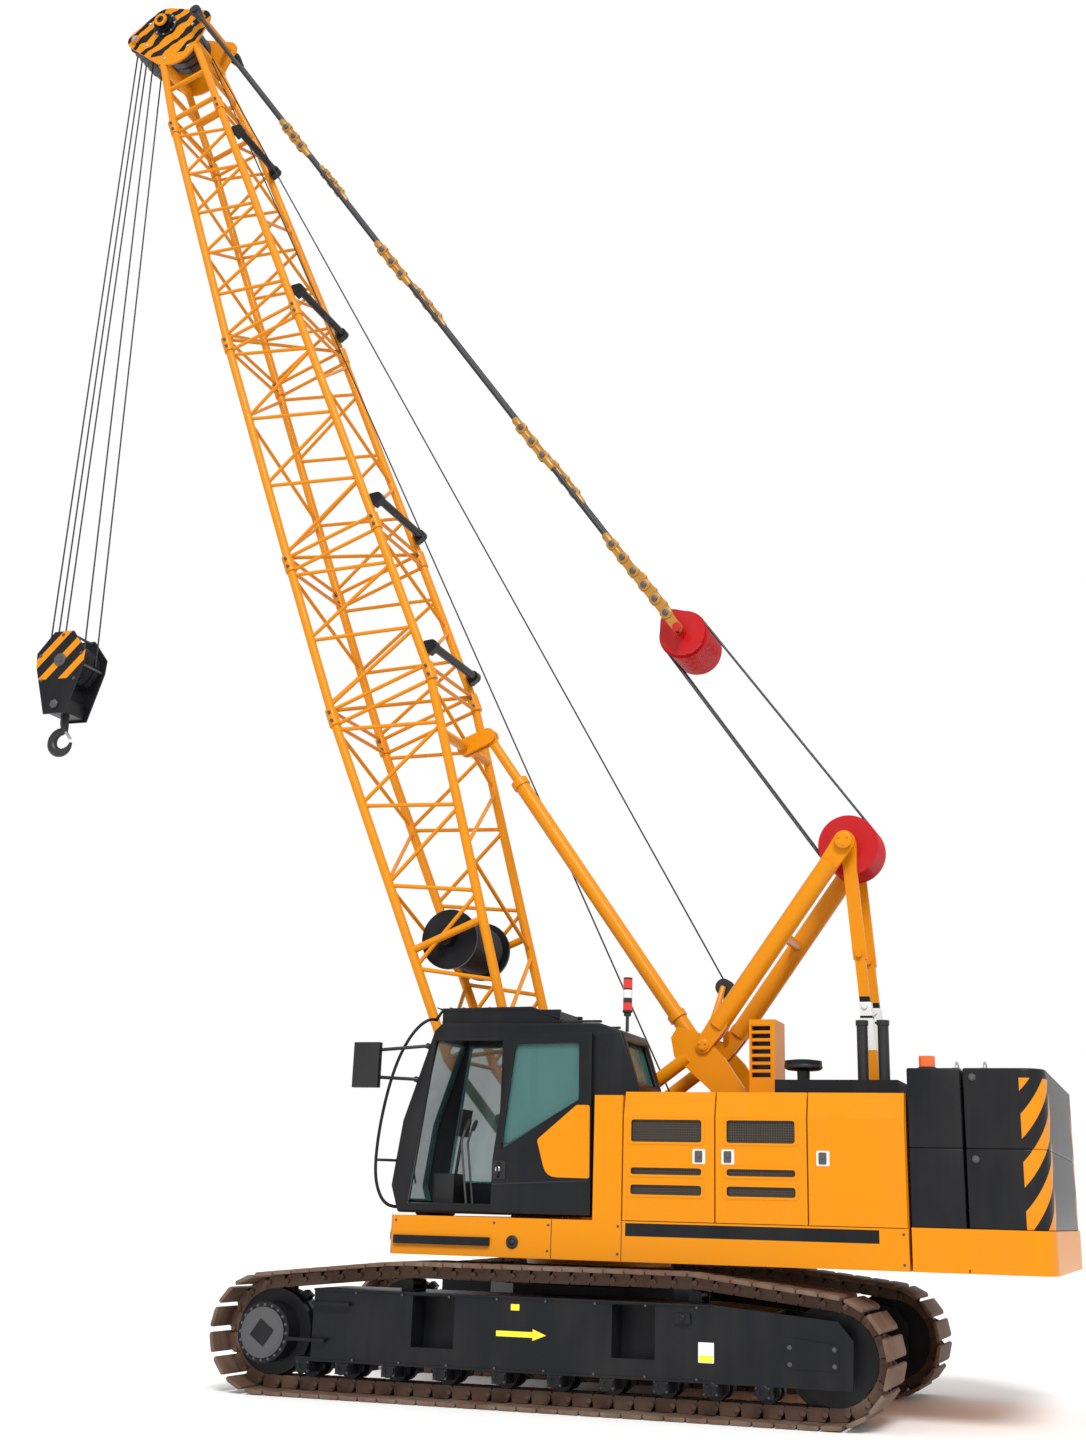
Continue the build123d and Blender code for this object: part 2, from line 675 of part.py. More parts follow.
# head: four stout legs up to two side plates, with webs between the legs
plate_in = head_plate_y - head_plate
front_pin_s, front_pin_v = front_pin_at
rear_pin_s, rear_pin_v = rear_pin_at
hub_s, hub_v = hub_at
with BuildPart() as boom_head:
    add(chords(top_end + chord_end, head_chord_top) + collars(top_end, 1)
        + end_frame(top_end + 150, 30) + end_frame(top_end + 670, 30))
    for sign in (1, -1):
        y = (sign * plate_in, sign * head_plate_y)
        hull_plate([(front_pin_v, front_pin_s, lobe_radius), (rear_pin_v, rear_pin_s, lobe_radius),
                    (hub_v, hub_s, hub_boss_radius), (head_belly_at[1], head_belly_at[0], head_belly_radius)],
                   y, plane=boom_side)
        for v, s, radius, out in ((front_pin_v, front_pin_s, 52, head_boss),
                                  (rear_pin_v, rear_pin_s, 52, head_boss),
                                  (hub_v, hub_s, 120, 60), (hub_v, hub_s, 80, 118)):
            disc(v, s, radius, (sign * plate_in, sign * (head_plate_y + out)), plane=boom_side)
    for v, s in ((head_chord_front, head_chord_top), (head_chord_rear, head_chord_top)):
        disc(v, s, 60, (plate_in, -plate_in), plane=boom_side)
    disc(rear_pin_v, rear_pin_s, 45, (plate_in, -plate_in), plane=boom_side)
pieces["boom_head"] = boom_head

with BuildPart() as head_sheaves:
    hub_point = at_boom(hub_s, hub_v)
    lobe_point = at_boom(front_pin_s, front_pin_v)
    grooved_drum(hub_point.X, hub_point.Z, head_sheave_radius, plate_in - 20, guide_grooves, groove_depth)
    grooved_drum(lobe_point.X, lobe_point.Z, guide_sheave_radius, guide_half, guide_grooves, groove_depth)
    disc(hub_v, hub_s, 60, (plate_in, -plate_in), plane=boom_side)
    disc(front_pin_v, front_pin_s, 50, (plate_in, -plate_in), plane=boom_side)
pieces["head_sheaves"] = head_sheaves

# rollers across the boom's back that keep the hoist ropes off the lattice
rope_roller_radius = 42.0
rope_roller_rise = 110.0
with BuildPart() as rope_rollers:
    for s in (base_length + 250, short_end + 250, long_end + 250, top_end - 480):
        half = along_table(chord_half, s) - 90
        lift = along_table(rear_chord, s) - rope_roller_rise
        feet = [(along_table(rear_chord, foot) - chord_radius - seat_gap - 12, foot, 12) for foot in (s - 60, s + 60)]
        disc(lift, s, rope_roller_radius, (half, -half), plane=boom_side)
        for sign in (1, -1):
            hull_plate([(lift, s, rope_roller_radius + 14)] + feet, (sign * half, sign * (half + 90)),
                       plane=boom_side)
pieces["rope_rollers"] = rope_rollers

drum_radius = 205.0
drum_flange = 270.0
with BuildPart() as boom_winch:
    at = at_boom(drum_s, drum_v)
    disc(drum_v, drum_s, drum_radius, (400, -400), plane=boom_side)
    for sign in (1, -1):
        disc(drum_v, drum_s, drum_flange, (sign * 400, sign * 430), plane=boom_side)
        disc(drum_v, drum_s, 70, (sign * 430, sign * (half_width - 34 - seat_gap)), plane=boom_side)
pieces["boom_winch"] = boom_winch

# ================================================================ backstop
stop_foot = Vector(stop_x, 0, stop_z)
stop_head = at_boom(pin_s, pin_v)
stop_dir = (stop_head - stop_foot).normalized()
stop_length = (stop_head - stop_foot).length
rod_start = stop_length - backstop_show - backstop_rod_inside
with BuildPart() as backstop_tube:
    add(tube(stop_foot + stop_dir * 30, stop_foot + stop_dir * (stop_length - backstop_show),
             backstop_tube_radius))
    disc(stop_x, stop_z, 62, (50, -50))
    add(tube(stop_foot + stop_dir * 240, stop_foot + stop_dir * 300, backstop_tube_radius + 16))
    add(tube(stop_foot + stop_dir * (stop_length - backstop_show - gland_length),
             stop_foot + stop_dir * (stop_length - backstop_show), backstop_tube_radius + 14))
    add(tube(stop_foot + stop_dir * (rod_start - backstop_stroke_in),
             stop_foot + stop_dir * (stop_length - backstop_show - gland_length), backstop_bore),
        mode=Mode.SUBTRACT)
    add(tube(stop_foot + stop_dir * rod_start, stop_head, backstop_rod_radius + seat_gap), mode=Mode.SUBTRACT)
    disc(stop_x, stop_z, 30 + seat_gap, (60, -60), mode=Mode.SUBTRACT)
pieces["backstop_tube"] = backstop_tube

with BuildPart() as backstop_rod:
    add(tube(stop_foot + stop_dir * rod_start, stop_head - stop_dir * 110, backstop_rod_radius))
    near = stop_head - stop_dir * 130
    hull_plate([(stop_head.X, stop_head.Z, 58), (near.X, near.Z, 40)], (25, -25))
    disc(stop_head.X, stop_head.Z, 27, (26, -26), mode=Mode.SUBTRACT)
pieces["backstop_rod"] = backstop_rod

# ================================================================ luffing suspension
peak = Vector(peak_x, 0, peak_z)
pendant_end = at_boom(pendant_pin_at[0], pendant_pin_at[1])
line = (pendant_end - peak).normalized()
line_out = Vector(line.Z, 0, -line.X)
line_length = (pendant_end - peak).length


def on_line(reach, rise=0.0, y=0.0):
    """Point on the suspension line, this far from the gantry's peak."""
    return peak + line * reach + line_out * rise + Vector(0, y, 0)


def line_side(y):
    """Side plane at y with its origin at the gantry's peak: sketch y runs up the suspension line."""
    return Plane(origin=peak + Vector(0, y, 0), x_dir=line_out, z_dir=(0, -1, 0))


rope_ends = [
    (reach, in_groove(radius, half, luff_grooves, groove_depth, rope_radius), 2 * half / luff_grooves)
    for reach, radius, half in (
        (0, gantry_sheave_radius, gantry_sheave_half), (bridle_distance, bridle_radius, bridle_sheave_half))]
with BuildPart() as suspension_ropes:
    for sign in (1, -1):
        for i in range(luff_grooves):
            row = i - (luff_grooves - 1) / 2
            add(tube(*[on_line(reach, sign * rise, row * pitch) for reach, rise, pitch in rope_ends],
                     rope_radius))
pieces["suspension_ropes"] = suspension_ropes

bridle_at = on_line(bridle_distance)
fork_y = (suspension_y - eye_plate / 2, suspension_y + eye_plate / 2)
with BuildPart() as bridle:
    grooved_drum(bridle_at.X, bridle_at.Z, bridle_radius, bridle_sheave_half, luff_grooves, groove_depth)
    for sign in (1, -1):
        hull_plate([(0, bridle_distance, bridle_radius - 20), (0, bridle_distance + 150, 120)],
                   (sign * (bridle_half - 60), sign * bridle_half), plane=line_side)
    disc(0, bridle_distance, 42, (fork_y[1] + 20, -fork_y[1] - 20), plane=line_side)
pieces["bridle"] = bridle

link_groups = ((0, 1100), (2350, 2760), (5200, 5610), (7480, 7830))  # from and to, past the bridle
pendant_reach = line_length - bridle_distance
with BuildPart() as pendants:
    for sign in (1, -1):
        y = sign * suspension_y
        add(tube(on_line(bridle_distance + 900, 0, y), on_line(line_length - 60, 0, y), pendant_radius))
        faces = (sign * fork_y[0], sign * fork_y[1])
        for start, end in link_groups:
            count = max(1, round((end - start) / 200))
            step = (end - start) / count
            for i in range(count):
                hull_plate([(0, bridle_distance + start + step * i, 46),
                            (0, bridle_distance + start + step * (i + 1), 46)], faces, plane=line_side)
        hull_plate([(0, line_length, eye_radius), (0, line_length - 160, 34)], faces, plane=line_side)
        # pin through the eye, up to the head's boss
        disc(0, line_length, 34, (sign * (head_plate_y + head_boss + pin_gap), sign * (fork_y[1] + 15)),
             plane=line_side)
        disc(0, bridle_distance, 42 + seat_gap, (sign * 400, sign * 560), mode=Mode.SUBTRACT, plane=line_side)
pieces["pendants"] = pendants

# ================================================================ hook
guide_pitch = 2 * guide_half / guide_grooves
hook_pitch = 2 * hook_sheave_half / hook_grooves
guide_reach = in_groove(guide_sheave_radius, guide_half, guide_grooves, groove_depth, hoist_rope_radius)
hook_reach = in_groove(hook_sheave_radius, hook_sheave_half, hook_grooves, groove_depth, hoist_rope_radius)
falls = ((1, 1), (1, 0), (1, -1), (-1, 1), (-1, -1))   # fore or aft of the sheaves, and groove
hook_x = lobe_point.X
with BuildPart() as hoist_ropes:
    for fore, groove in falls:
        add(tube((hook_x + fore * guide_reach, groove * guide_pitch, lobe_point.Z),
                 (hook_x + fore * hook_reach, groove * hook_pitch, hook_block_z), hoist_rope_radius))
pieces["hoist_ropes"] = hoist_ropes

with BuildPart() as hook_block:
    grooved_drum(hook_x, hook_block_z, hook_sheave_radius, hook_sheave_half, hook_grooves, groove_depth)
    disc(hook_x, hook_block_z, 60, (hook_cheek_y, -hook_cheek_y))
    cheek_outline = [(-120, 320), (110, 320), (300, 90), (290, -60), (130, -590), (-130, -590), (-290, -60), (-300, 90)]
    for sign in (1, -1):
        plate([(hook_x + x, hook_block_z + z) for x, z in cheek_outline],
              (sign * hook_cheek_y, sign * (hook_cheek_y + hook_cheek)))
    block((hook_x - 110, hook_x + 110), (-hook_cheek_y, hook_cheek_y), (hook_block_z - 570, hook_block_z - 420))
    with Locations((hook_x, 0, hook_block_z - 500)):
        Cylinder(48.3, 400, mode=Mode.SUBTRACT)
pieces["hook_block"] = hook_block

hook_eye_z = hook_block_z - 850
with BuildPart() as hook:
    with Locations((hook_x, 0, hook_block_z - 500)):
        Cylinder(48, 300)
    with Locations((hook_x, 0, hook_block_z - 405)):
        Cylinder(80, 30)
    with BuildSketch(side(40)):
        with Locations((hook_x, hook_eye_z)):
            Circle(165)
        with Locations((hook_x, hook_eye_z + 165)):
            Rectangle(96, 120)
    extrude(amount=80)
    with BuildSketch(side(60)):
        with Locations((hook_x, hook_eye_z + 10)):
            Circle(75)
        with BuildLine():
            Polyline((hook_x, hook_eye_z + 10), (hook_x - 230, hook_eye_z + 90), (hook_x - 60, hook_eye_z + 230),
                     (hook_x - 48, hook_eye_z + 120), close=True)
        make_face()
    extrude(amount=120, mode=Mode.SUBTRACT)
pieces["hook"] = hook

# ================================================================ machinery house
seal_gap = 6.0              # doors to the house behind them and the deck below
door_outer = deck_half
door_inner = deck_half - door_thick
house_outer = door_inner - seal_gap
house_front = -760.0
lean_z = bevel_z - 40


def house_section(inset):
    """House in cross section, this far inside its outer shape: floor, side, leaning top and roof."""
    outer = house_outer - inset
    return [
        (house_inner_y + inset, deck_top + inset), (outer, deck_top + inset), (outer, lean_z),
        (outer - bevel_in, house_roof - inset), (house_inner_y + inset, house_roof - inset)]


def section_block(outline, x, mode=Mode.ADD):
    """Prism with this outline in cross section, between two X values."""
    with BuildSketch(Plane.YZ.offset(min(x))) as profile:
        with BuildLine():
            Polyline(*outline, close=True)
        make_face()
    extrude(profile.sketch, amount=abs(x[1] - x[0]), mode=mode)


with BuildPart() as house_left:
    section_block(house_section(0), (house_front, door_x[-1]))
    section_block(house_section(house_wall), (house_front - house_wall, door_x[-1] + house_wall),
                  mode=Mode.SUBTRACT)
    # open towards the doors, between the posts
    for x0, x1 in zip((house_front - house_wall, door_x[1] - 25, door_x[2] - 25),
                      (door_x[1] + 25, door_x[2] + 25, door_x[3] + house_wall)):
        block((x0, x1), (house_outer - 200, house_outer + 1), (deck_top + house_wall, house_roof - house_wall),
              mode=Mode.SUBTRACT)
    # filler panel between the cab and the first door
    block((-420, door_x[0] + door_gap / 2), (cab_outer_y + slide_gap, deck_half), (deck_top, 2310))
pieces["house_left"] = house_left

with BuildPart() as house_right:
    mirror(house_left.part, about=Plane.XZ)
pieces["house_right"] = house_right

hinge_inset = 12.0          # hinge axis from the door's outer face and from its edge
hinge_radius = 8.0
louvres = {  # windows of each door: from and to along X, then low and high Z
    1: ((-723, -1303), ((1956, 2129), (1713, 1770), (1565, 1643))),
    2: ((-1495, -2040), ((1956, 2129), (1713, 1770), (1565, 1643))),
    3: (None, ()),
}
door_names = {1: "front", 2: "middle", 3: "rear"}
for number, (span, heights) in louvres.items():
    with BuildPart() as house_door:
        x0, x1 = door_x[number - 1] - door_gap / 2, door_x[number] + door_gap / 2
        section_block(
            [(door_inner, deck_top + seal_gap), (door_outer, deck_top + seal_gap), (door_outer, bevel_z),
             (door_outer - bevel_in, house_roof), (door_inner - bevel_in, house_roof), (door_inner, lean_z)],
            (x0, x1))
        for z in heights:
            block(span, (door_outer + 1, door_inner + 12), z, mode=Mode.SUBTRACT)
        hinge_x = x0 - hinge_inset if number == 1 else x1 + hinge_inset
        with Locations((hinge_x, deck_half - hinge_inset, deck_top + seal_gap)):
            Cylinder(hinge_radius, 2 * (seal_gap - seat_gap))
    pieces[f"house_door_left_{door_names[number]}"] = house_door
for name in ("front", "middle", "rear"):
    with BuildPart() as house_door:
        mirror(pieces[f"house_door_left_{name}"].part, about=Plane.XZ)
    pieces[f"house_door_right_{name}"] = house_door

with BuildPart() as engine_block:
    block((-2700, -1500), (-1350, -700), (deck_top + house_wall, 2200))
pieces["engine_block"] = engine_block

with BuildPart() as winches:
    for x, z in ((-480, 1760), (-2020, 1730)):
        disc(x, z, 200, (400, -400))
        for sign in (1, -1):
            disc(x, z, 290, (sign * 400, sign * 425))
            hull_plate([(x, z, 180), (x - 200, deck_top + 20, 20), (x + 200, deck_top + 20, 20)],
                       (sign * 425, sign * 455))
pieces["winches"] = winches

with BuildPart() as intake_box:
    block((-1480, -1700), (250, 630), (deck_top, 2980))
    block((-1500, -1660), (249, 631), (2500, 2940), mode=Mode.SUBTRACT)
pieces["intake_box"] = intake_box

with BuildPart() as air_cleaner:
    block((-1830, -2800), (700, 1250), (house_roof, 2450))
    with Locations((-1990, 900, 2450 + 60)):
        Cylinder(50, 120)
    with Locations((-1990, 900, 2590)):
        Cylinder(150, 60)
pieces["air_cleaner"] = air_cleaner

# ================================================================ counterweight
def counterweight_block(x0, x1, z0, z1, rounded):
    """Block across the full width, with round rear corners when asked."""
    block((x0, x1), (-deck_half, deck_half), (z0, z1))


with BuildPart() as counterweight_tray:
    with BuildSketch(Plane.XY.offset(deck_floor)):
        with Locations(((tray_front + tray_rear) / 2, 0)):
            Rectangle(tray_front - tray_rear, 2 * deck_half)
        rear = counterweight_tray.pending_faces
    extrude(amount=tray_top - deck_floor)
    fillet(counterweight_tray.edges().filter_by(Axis.Z).group_by(Axis.X)[0], corner_radius)
    block((tail_rear - 1, tray_front + 1), (-tail_half - seat_gap, tail_half + seat_gap),
          (tail_floor - 0.5, tail_top), mode=Mode.SUBTRACT)
    block((tray_seam - 6, tray_seam + 6), (-deck_half - 1, deck_half + 1), (deck_floor - 1, deck_floor + 30),
          mode=Mode.SUBTRACT)
pieces["counterweight_tray"] = counterweight_tray

for label, z0, z1 in (("counterweight_lower", tray_top, slab_seam), ("counterweight_upper", slab_seam, slab_top)):
    with BuildPart() as slab:
        block((tray_front, tray_seam + slab_gap / 2), (-deck_half + 10, deck_half - 10), (z0, z1))
        with BuildSketch(Plane.XY.offset(z0)):
            with Locations(((tray_seam - slab_gap / 2 + tray_rear + 12) / 2, 0)):
                Rectangle(tray_seam - slab_gap / 2 - tray_rear - 12, 2 * deck_half - 20)
        extrude(amount=z1 - z0)
        fillet(slab.edges().filter_by(Axis.Z).group_by(Axis.X)[0], corner_radius)
    pieces[label] = slab

# ================================================================ cab
with BuildPart() as cab_shell:
    plate(cab_profile, (cab_outer_y, cab_inner_y))
    with BuildSketch(side(cab_outer_y - cab_wall)):
        with BuildLine():
            Polyline(*cab_profile, close=True)
        make_face()
        offset(amount=-cab_wall, kind=Kind.INTERSECTION)
    extrude(amount=cab_outer_y - cab_inner_y - 2 * cab_wall, mode=Mode.SUBTRACT)
    window_y = (cab_outer_y - cab_wall - 40, cab_inner_y + cab_wall + 40)
    block((900, 1500), window_y, (1500, 2740), mode=Mode.SUBTRACT)
    block((-900, -500), window_y, (2420, 2740), mode=Mode.SUBTRACT)
    plate([(1195, 1470), (1020, 2745), (430, 2745), (430, 1470)], (cab_outer_y + 1, cab_outer_y - cab_wall - 1),
          mode=Mode.SUBTRACT)
    plate([(340, 1900), (340, 2745), (-300, 2745), (-300, 1900)], (cab_outer_y + 1, cab_outer_y - cab_wall - 1),
          mode=Mode.SUBTRACT)
    plate([(1120, 1650), (970, 2745), (430, 2745), (430, 1650)], (cab_inner_y - 1, cab_inner_y + cab_wall + 1),
          mode=Mode.SUBTRACT)
    plate([(340, 1900), (340, 2745), (-300, 2745), (-300, 1900)], (cab_inner_y - 1, cab_inner_y + cab_wall + 1),
          mode=Mode.SUBTRACT)
    for x in (-600, 1100):
        block((x - 60, x + 60), (cab_inner_y + 60, cab_outer_y - 60), (deck_top, cab_floor))
pieces["cab_shell"] = cab_shell

inside_y = (cab_outer_y - cab_wall, cab_inner_y + cab_wall)
with BuildPart() as cab_glass:
    with BuildSketch(side(window_y[0] + glass_lap)):
        with BuildLine():
            Polyline(*cab_profile, close=True)
        make_face()
        offset(amount=-cab_wall, kind=Kind.INTERSECTION)
        with BuildSketch(mode=Mode.SUBTRACT):
            with BuildLine():
                Polyline(*cab_profile, close=True)
            make_face()
            offset(amount=-cab_wall - glass, kind=Kind.INTERSECTION)
        with Locations((200, 1000)):
            Rectangle(1300, 4000, mode=Mode.SUBTRACT)
        with Locations((0, 1400)):
            Rectangle(4000, 170, mode=Mode.SUBTRACT)
        with Locations((-700, 1900)):
            Rectangle(500, 1000, mode=Mode.SUBTRACT)
        with Locations((0, 2820)):
            Rectangle(4000, 130, mode=Mode.SUBTRACT)
    extrude(amount=window_y[0] - window_y[1] + 2 * glass_lap)
    for face, away in ((inside_y[0], -glass), (inside_y[1], glass)):
        plate([(340 + glass_lap, 1900 - glass_lap), (340 + glass_lap, 2745 + glass_lap),
               (-300 - glass_lap, 2745 + glass_lap), (-300 - glass_lap, 1900 - glass_lap)], (face, face + away))
    plate([(1120 + glass_lap, 1650 - glass_lap), (970 + glass_lap, 2745 + glass_lap), (430 - glass_lap, 2745 + glass_lap),
           (430 - glass_lap, 1650 - glass_lap)], (inside_y[1], inside_y[1] + glass))
pieces["cab_glass"] = cab_glass

door_y = (cab_outer_y + slide_gap, cab_outer_y + slide_gap + cab_door_thick)
pane_y = (door_y[0] + 18, door_y[0] + 18 + glass)
with BuildPart() as cab_door:
    plate(cab_door_outline, door_y)
    plate(cab_door_window, (door_y[0] - 1, door_y[1] + 1), mode=Mode.SUBTRACT)
    with BuildSketch(side(door_y[1] + 1)):
        with BuildLine():
            Polyline(*cab_door_window, close=True)
        make_face()
        offset(amount=glass_lap, kind=Kind.INTERSECTION)
    extrude(amount=door_y[1] + 1 - pane_y[0], mode=Mode.SUBTRACT)
    for x, z in (((-380, 440), (1406, 1430)), ((-360, 320), (2770, 2792))):
        block(x, (door_y[0], door_y[0] - slide_gap + seat_gap), z)
pieces["cab_door"] = cab_door

with BuildPart() as cab_door_glass:
    with BuildSketch(side(pane_y[1])):
        with BuildLine():
            Polyline(*cab_door_window, close=True)
        make_face()
        offset(amount=glass_lap - seat_gap, kind=Kind.INTERSECTION)
    extrude(amount=glass)
pieces["cab_door_glass"] = cab_door_glass

cab_mid_y = (cab_outer_y + cab_inner_y) / 2
inner_floor = cab_floor + cab_wall
with BuildPart() as cab_seat:
    block((-80, 260), (cab_mid_y - 150, cab_mid_y + 150), (inner_floor, 1720))
    block((-120, 400), (cab_mid_y - 240, cab_mid_y + 240), (1720, 1860))
    plate([(-120, 1860), (20, 1860), (-60, 2520), (-180, 2520)], (cab_mid_y - 220, cab_mid_y + 220))
pieces["cab_seat"] = cab_seat

with BuildPart() as cab_console:
    for sign in (1, -1):
        y = (cab_mid_y + sign * 245, cab_mid_y + sign * 300)
        block((-100, 480), y, (inner_floor, 1960))
    block((900, 1080), (cab_mid_y - 120, cab_mid_y + 120), (inner_floor, 1700))
pieces["cab_console"] = cab_console

with BuildPart() as cab_guard_rails:
    for y in (760, 1320):
        block((-50, 1000), (y - 15, y + 15), (2894, 3000))
    for i in range(6):
        x = -20 + i * 195
        block((x - 12, x + 12), (760, 1320), (2930, 2990))
pieces["cab_guard_rails"] = cab_guard_rails

# arms of the mirror stand on the cab's sloping front pillar
pillar_low, pillar_high = Vector(1287, 0, 2106), Vector(1042, 0, 2830)
pillar_out = Vector(pillar_high.Z - pillar_low.Z, 0, pillar_low.X - pillar_high.X).normalized()
mirror_arms = ((2700, 2640), (2430, 2430))    # height on the pillar, height at the mirror
with BuildPart() as mirror_left:
    block((1370, 1600), (1700, 1760), (2345, 2705))
    for low, top in mirror_arms:
        x = pillar_low.X + (pillar_high.X - pillar_low.X) * (low - pillar_low.Z) / (pillar_high.Z - pillar_low.Z)
        foot = Vector(x, cab_outer_y - 30, low)
        add(tube(foot + pillar_out * seat_gap, foot + pillar_out * 34, 24))
        add(tube(foot + pillar_out * 22, (1440, 1730, top), 14))
pieces["mirror"] = mirror_left

with BuildPart() as lamps:
    with Locations((-3035, 1300, slab_top + 50)):
        Cylinder(62, 100)
    with Locations((-590, 1200, 3130)):
        Cylinder(38, 270)
    add(tube((-590, 1200, 2995), (-590, 1200, 2829.6), 14))
pieces["lamps"] = lamps

for label, piece in pieces.items():
    piece.part.label = label
os.makedirs("parts", exist_ok=True)
for label, piece in pieces.items():
    export_step(piece.part, f"parts/{label}.step")
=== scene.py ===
"""Looks for the crawler crane: finishes, camera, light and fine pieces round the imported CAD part.

Lengths are metres. X points forward along the boom, Y to the cab's side and Z up from the ground.
"""

import json
import logging
import math
from collections.abc import Iterator, Sequence
from dataclasses import dataclass, replace
from enum import Enum

import bmesh
import bpy
from mathutils import Matrix, Vector
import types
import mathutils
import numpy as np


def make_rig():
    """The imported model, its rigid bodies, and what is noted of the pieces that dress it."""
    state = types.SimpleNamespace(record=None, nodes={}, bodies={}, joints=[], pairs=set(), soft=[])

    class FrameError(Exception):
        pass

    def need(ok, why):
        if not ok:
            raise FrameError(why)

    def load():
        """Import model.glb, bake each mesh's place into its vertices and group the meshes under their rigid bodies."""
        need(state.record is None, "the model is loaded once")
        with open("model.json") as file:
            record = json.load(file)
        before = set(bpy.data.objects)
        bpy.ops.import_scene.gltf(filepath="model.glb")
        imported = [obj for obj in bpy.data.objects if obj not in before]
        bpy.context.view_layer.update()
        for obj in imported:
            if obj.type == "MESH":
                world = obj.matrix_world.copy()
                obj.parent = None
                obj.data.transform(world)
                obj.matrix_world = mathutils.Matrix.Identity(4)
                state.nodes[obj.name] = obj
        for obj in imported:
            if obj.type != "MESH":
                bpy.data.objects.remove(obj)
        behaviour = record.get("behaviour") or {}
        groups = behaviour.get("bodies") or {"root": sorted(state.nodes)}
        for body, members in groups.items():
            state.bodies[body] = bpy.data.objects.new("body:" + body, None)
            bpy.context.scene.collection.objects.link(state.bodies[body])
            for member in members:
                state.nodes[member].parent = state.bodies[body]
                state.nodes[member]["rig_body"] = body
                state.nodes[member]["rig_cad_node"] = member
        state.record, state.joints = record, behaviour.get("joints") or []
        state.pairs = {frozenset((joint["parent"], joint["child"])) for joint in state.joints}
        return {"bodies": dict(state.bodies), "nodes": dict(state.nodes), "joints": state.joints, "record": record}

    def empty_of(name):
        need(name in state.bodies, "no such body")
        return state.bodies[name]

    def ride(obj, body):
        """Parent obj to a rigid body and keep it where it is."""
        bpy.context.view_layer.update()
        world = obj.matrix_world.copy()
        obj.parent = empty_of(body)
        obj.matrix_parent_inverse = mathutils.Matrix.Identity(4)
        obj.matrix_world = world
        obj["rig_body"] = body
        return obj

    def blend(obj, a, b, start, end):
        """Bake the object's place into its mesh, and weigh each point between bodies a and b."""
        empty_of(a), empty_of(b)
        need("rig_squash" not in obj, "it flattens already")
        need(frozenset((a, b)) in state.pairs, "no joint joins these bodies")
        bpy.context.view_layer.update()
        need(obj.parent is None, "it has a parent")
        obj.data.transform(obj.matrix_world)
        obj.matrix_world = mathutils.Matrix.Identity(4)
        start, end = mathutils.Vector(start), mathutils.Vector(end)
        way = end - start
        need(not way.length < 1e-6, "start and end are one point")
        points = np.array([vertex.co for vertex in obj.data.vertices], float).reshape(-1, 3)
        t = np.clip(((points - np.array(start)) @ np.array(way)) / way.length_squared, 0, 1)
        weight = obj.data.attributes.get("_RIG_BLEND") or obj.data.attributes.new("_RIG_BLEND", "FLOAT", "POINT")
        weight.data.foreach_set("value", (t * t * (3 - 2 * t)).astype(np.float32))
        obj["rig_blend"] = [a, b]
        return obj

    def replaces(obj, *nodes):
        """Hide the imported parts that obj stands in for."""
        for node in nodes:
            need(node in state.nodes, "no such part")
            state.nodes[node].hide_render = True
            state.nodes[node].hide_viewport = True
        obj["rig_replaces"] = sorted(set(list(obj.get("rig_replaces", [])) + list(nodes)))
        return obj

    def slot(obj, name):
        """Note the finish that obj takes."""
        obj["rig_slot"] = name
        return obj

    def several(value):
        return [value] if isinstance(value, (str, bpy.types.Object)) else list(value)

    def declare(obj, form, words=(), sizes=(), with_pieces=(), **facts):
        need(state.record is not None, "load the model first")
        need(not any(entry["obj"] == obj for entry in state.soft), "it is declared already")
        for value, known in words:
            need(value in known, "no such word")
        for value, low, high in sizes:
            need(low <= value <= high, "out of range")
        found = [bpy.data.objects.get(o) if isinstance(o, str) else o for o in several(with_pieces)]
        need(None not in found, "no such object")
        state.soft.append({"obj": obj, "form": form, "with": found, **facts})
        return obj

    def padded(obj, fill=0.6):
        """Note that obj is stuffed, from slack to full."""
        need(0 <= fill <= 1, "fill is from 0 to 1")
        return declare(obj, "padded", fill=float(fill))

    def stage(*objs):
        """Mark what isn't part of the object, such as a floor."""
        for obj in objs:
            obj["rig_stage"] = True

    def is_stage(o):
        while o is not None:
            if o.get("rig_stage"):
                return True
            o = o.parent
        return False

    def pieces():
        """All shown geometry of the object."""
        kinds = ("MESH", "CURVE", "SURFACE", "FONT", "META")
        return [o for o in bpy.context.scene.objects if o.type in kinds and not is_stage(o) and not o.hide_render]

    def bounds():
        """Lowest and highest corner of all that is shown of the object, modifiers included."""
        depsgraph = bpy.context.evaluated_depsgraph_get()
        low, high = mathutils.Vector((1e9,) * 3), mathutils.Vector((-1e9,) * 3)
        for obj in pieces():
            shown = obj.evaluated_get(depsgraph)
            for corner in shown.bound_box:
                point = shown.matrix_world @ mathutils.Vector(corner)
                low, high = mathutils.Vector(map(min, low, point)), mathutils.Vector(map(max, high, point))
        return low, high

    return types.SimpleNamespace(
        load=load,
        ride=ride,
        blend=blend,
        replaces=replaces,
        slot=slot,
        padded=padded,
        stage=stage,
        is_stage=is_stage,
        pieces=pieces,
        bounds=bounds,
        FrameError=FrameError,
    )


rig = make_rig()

log = logging.getLogger("crane")

Point = tuple[float, float, float]
Row = tuple[float, float]
Profile = tuple[Row, ...]          # rows of distance along an axis and radius there
Outline = list[Row]                # corners in X and Z, in order
Sizes = tuple[float, ...]

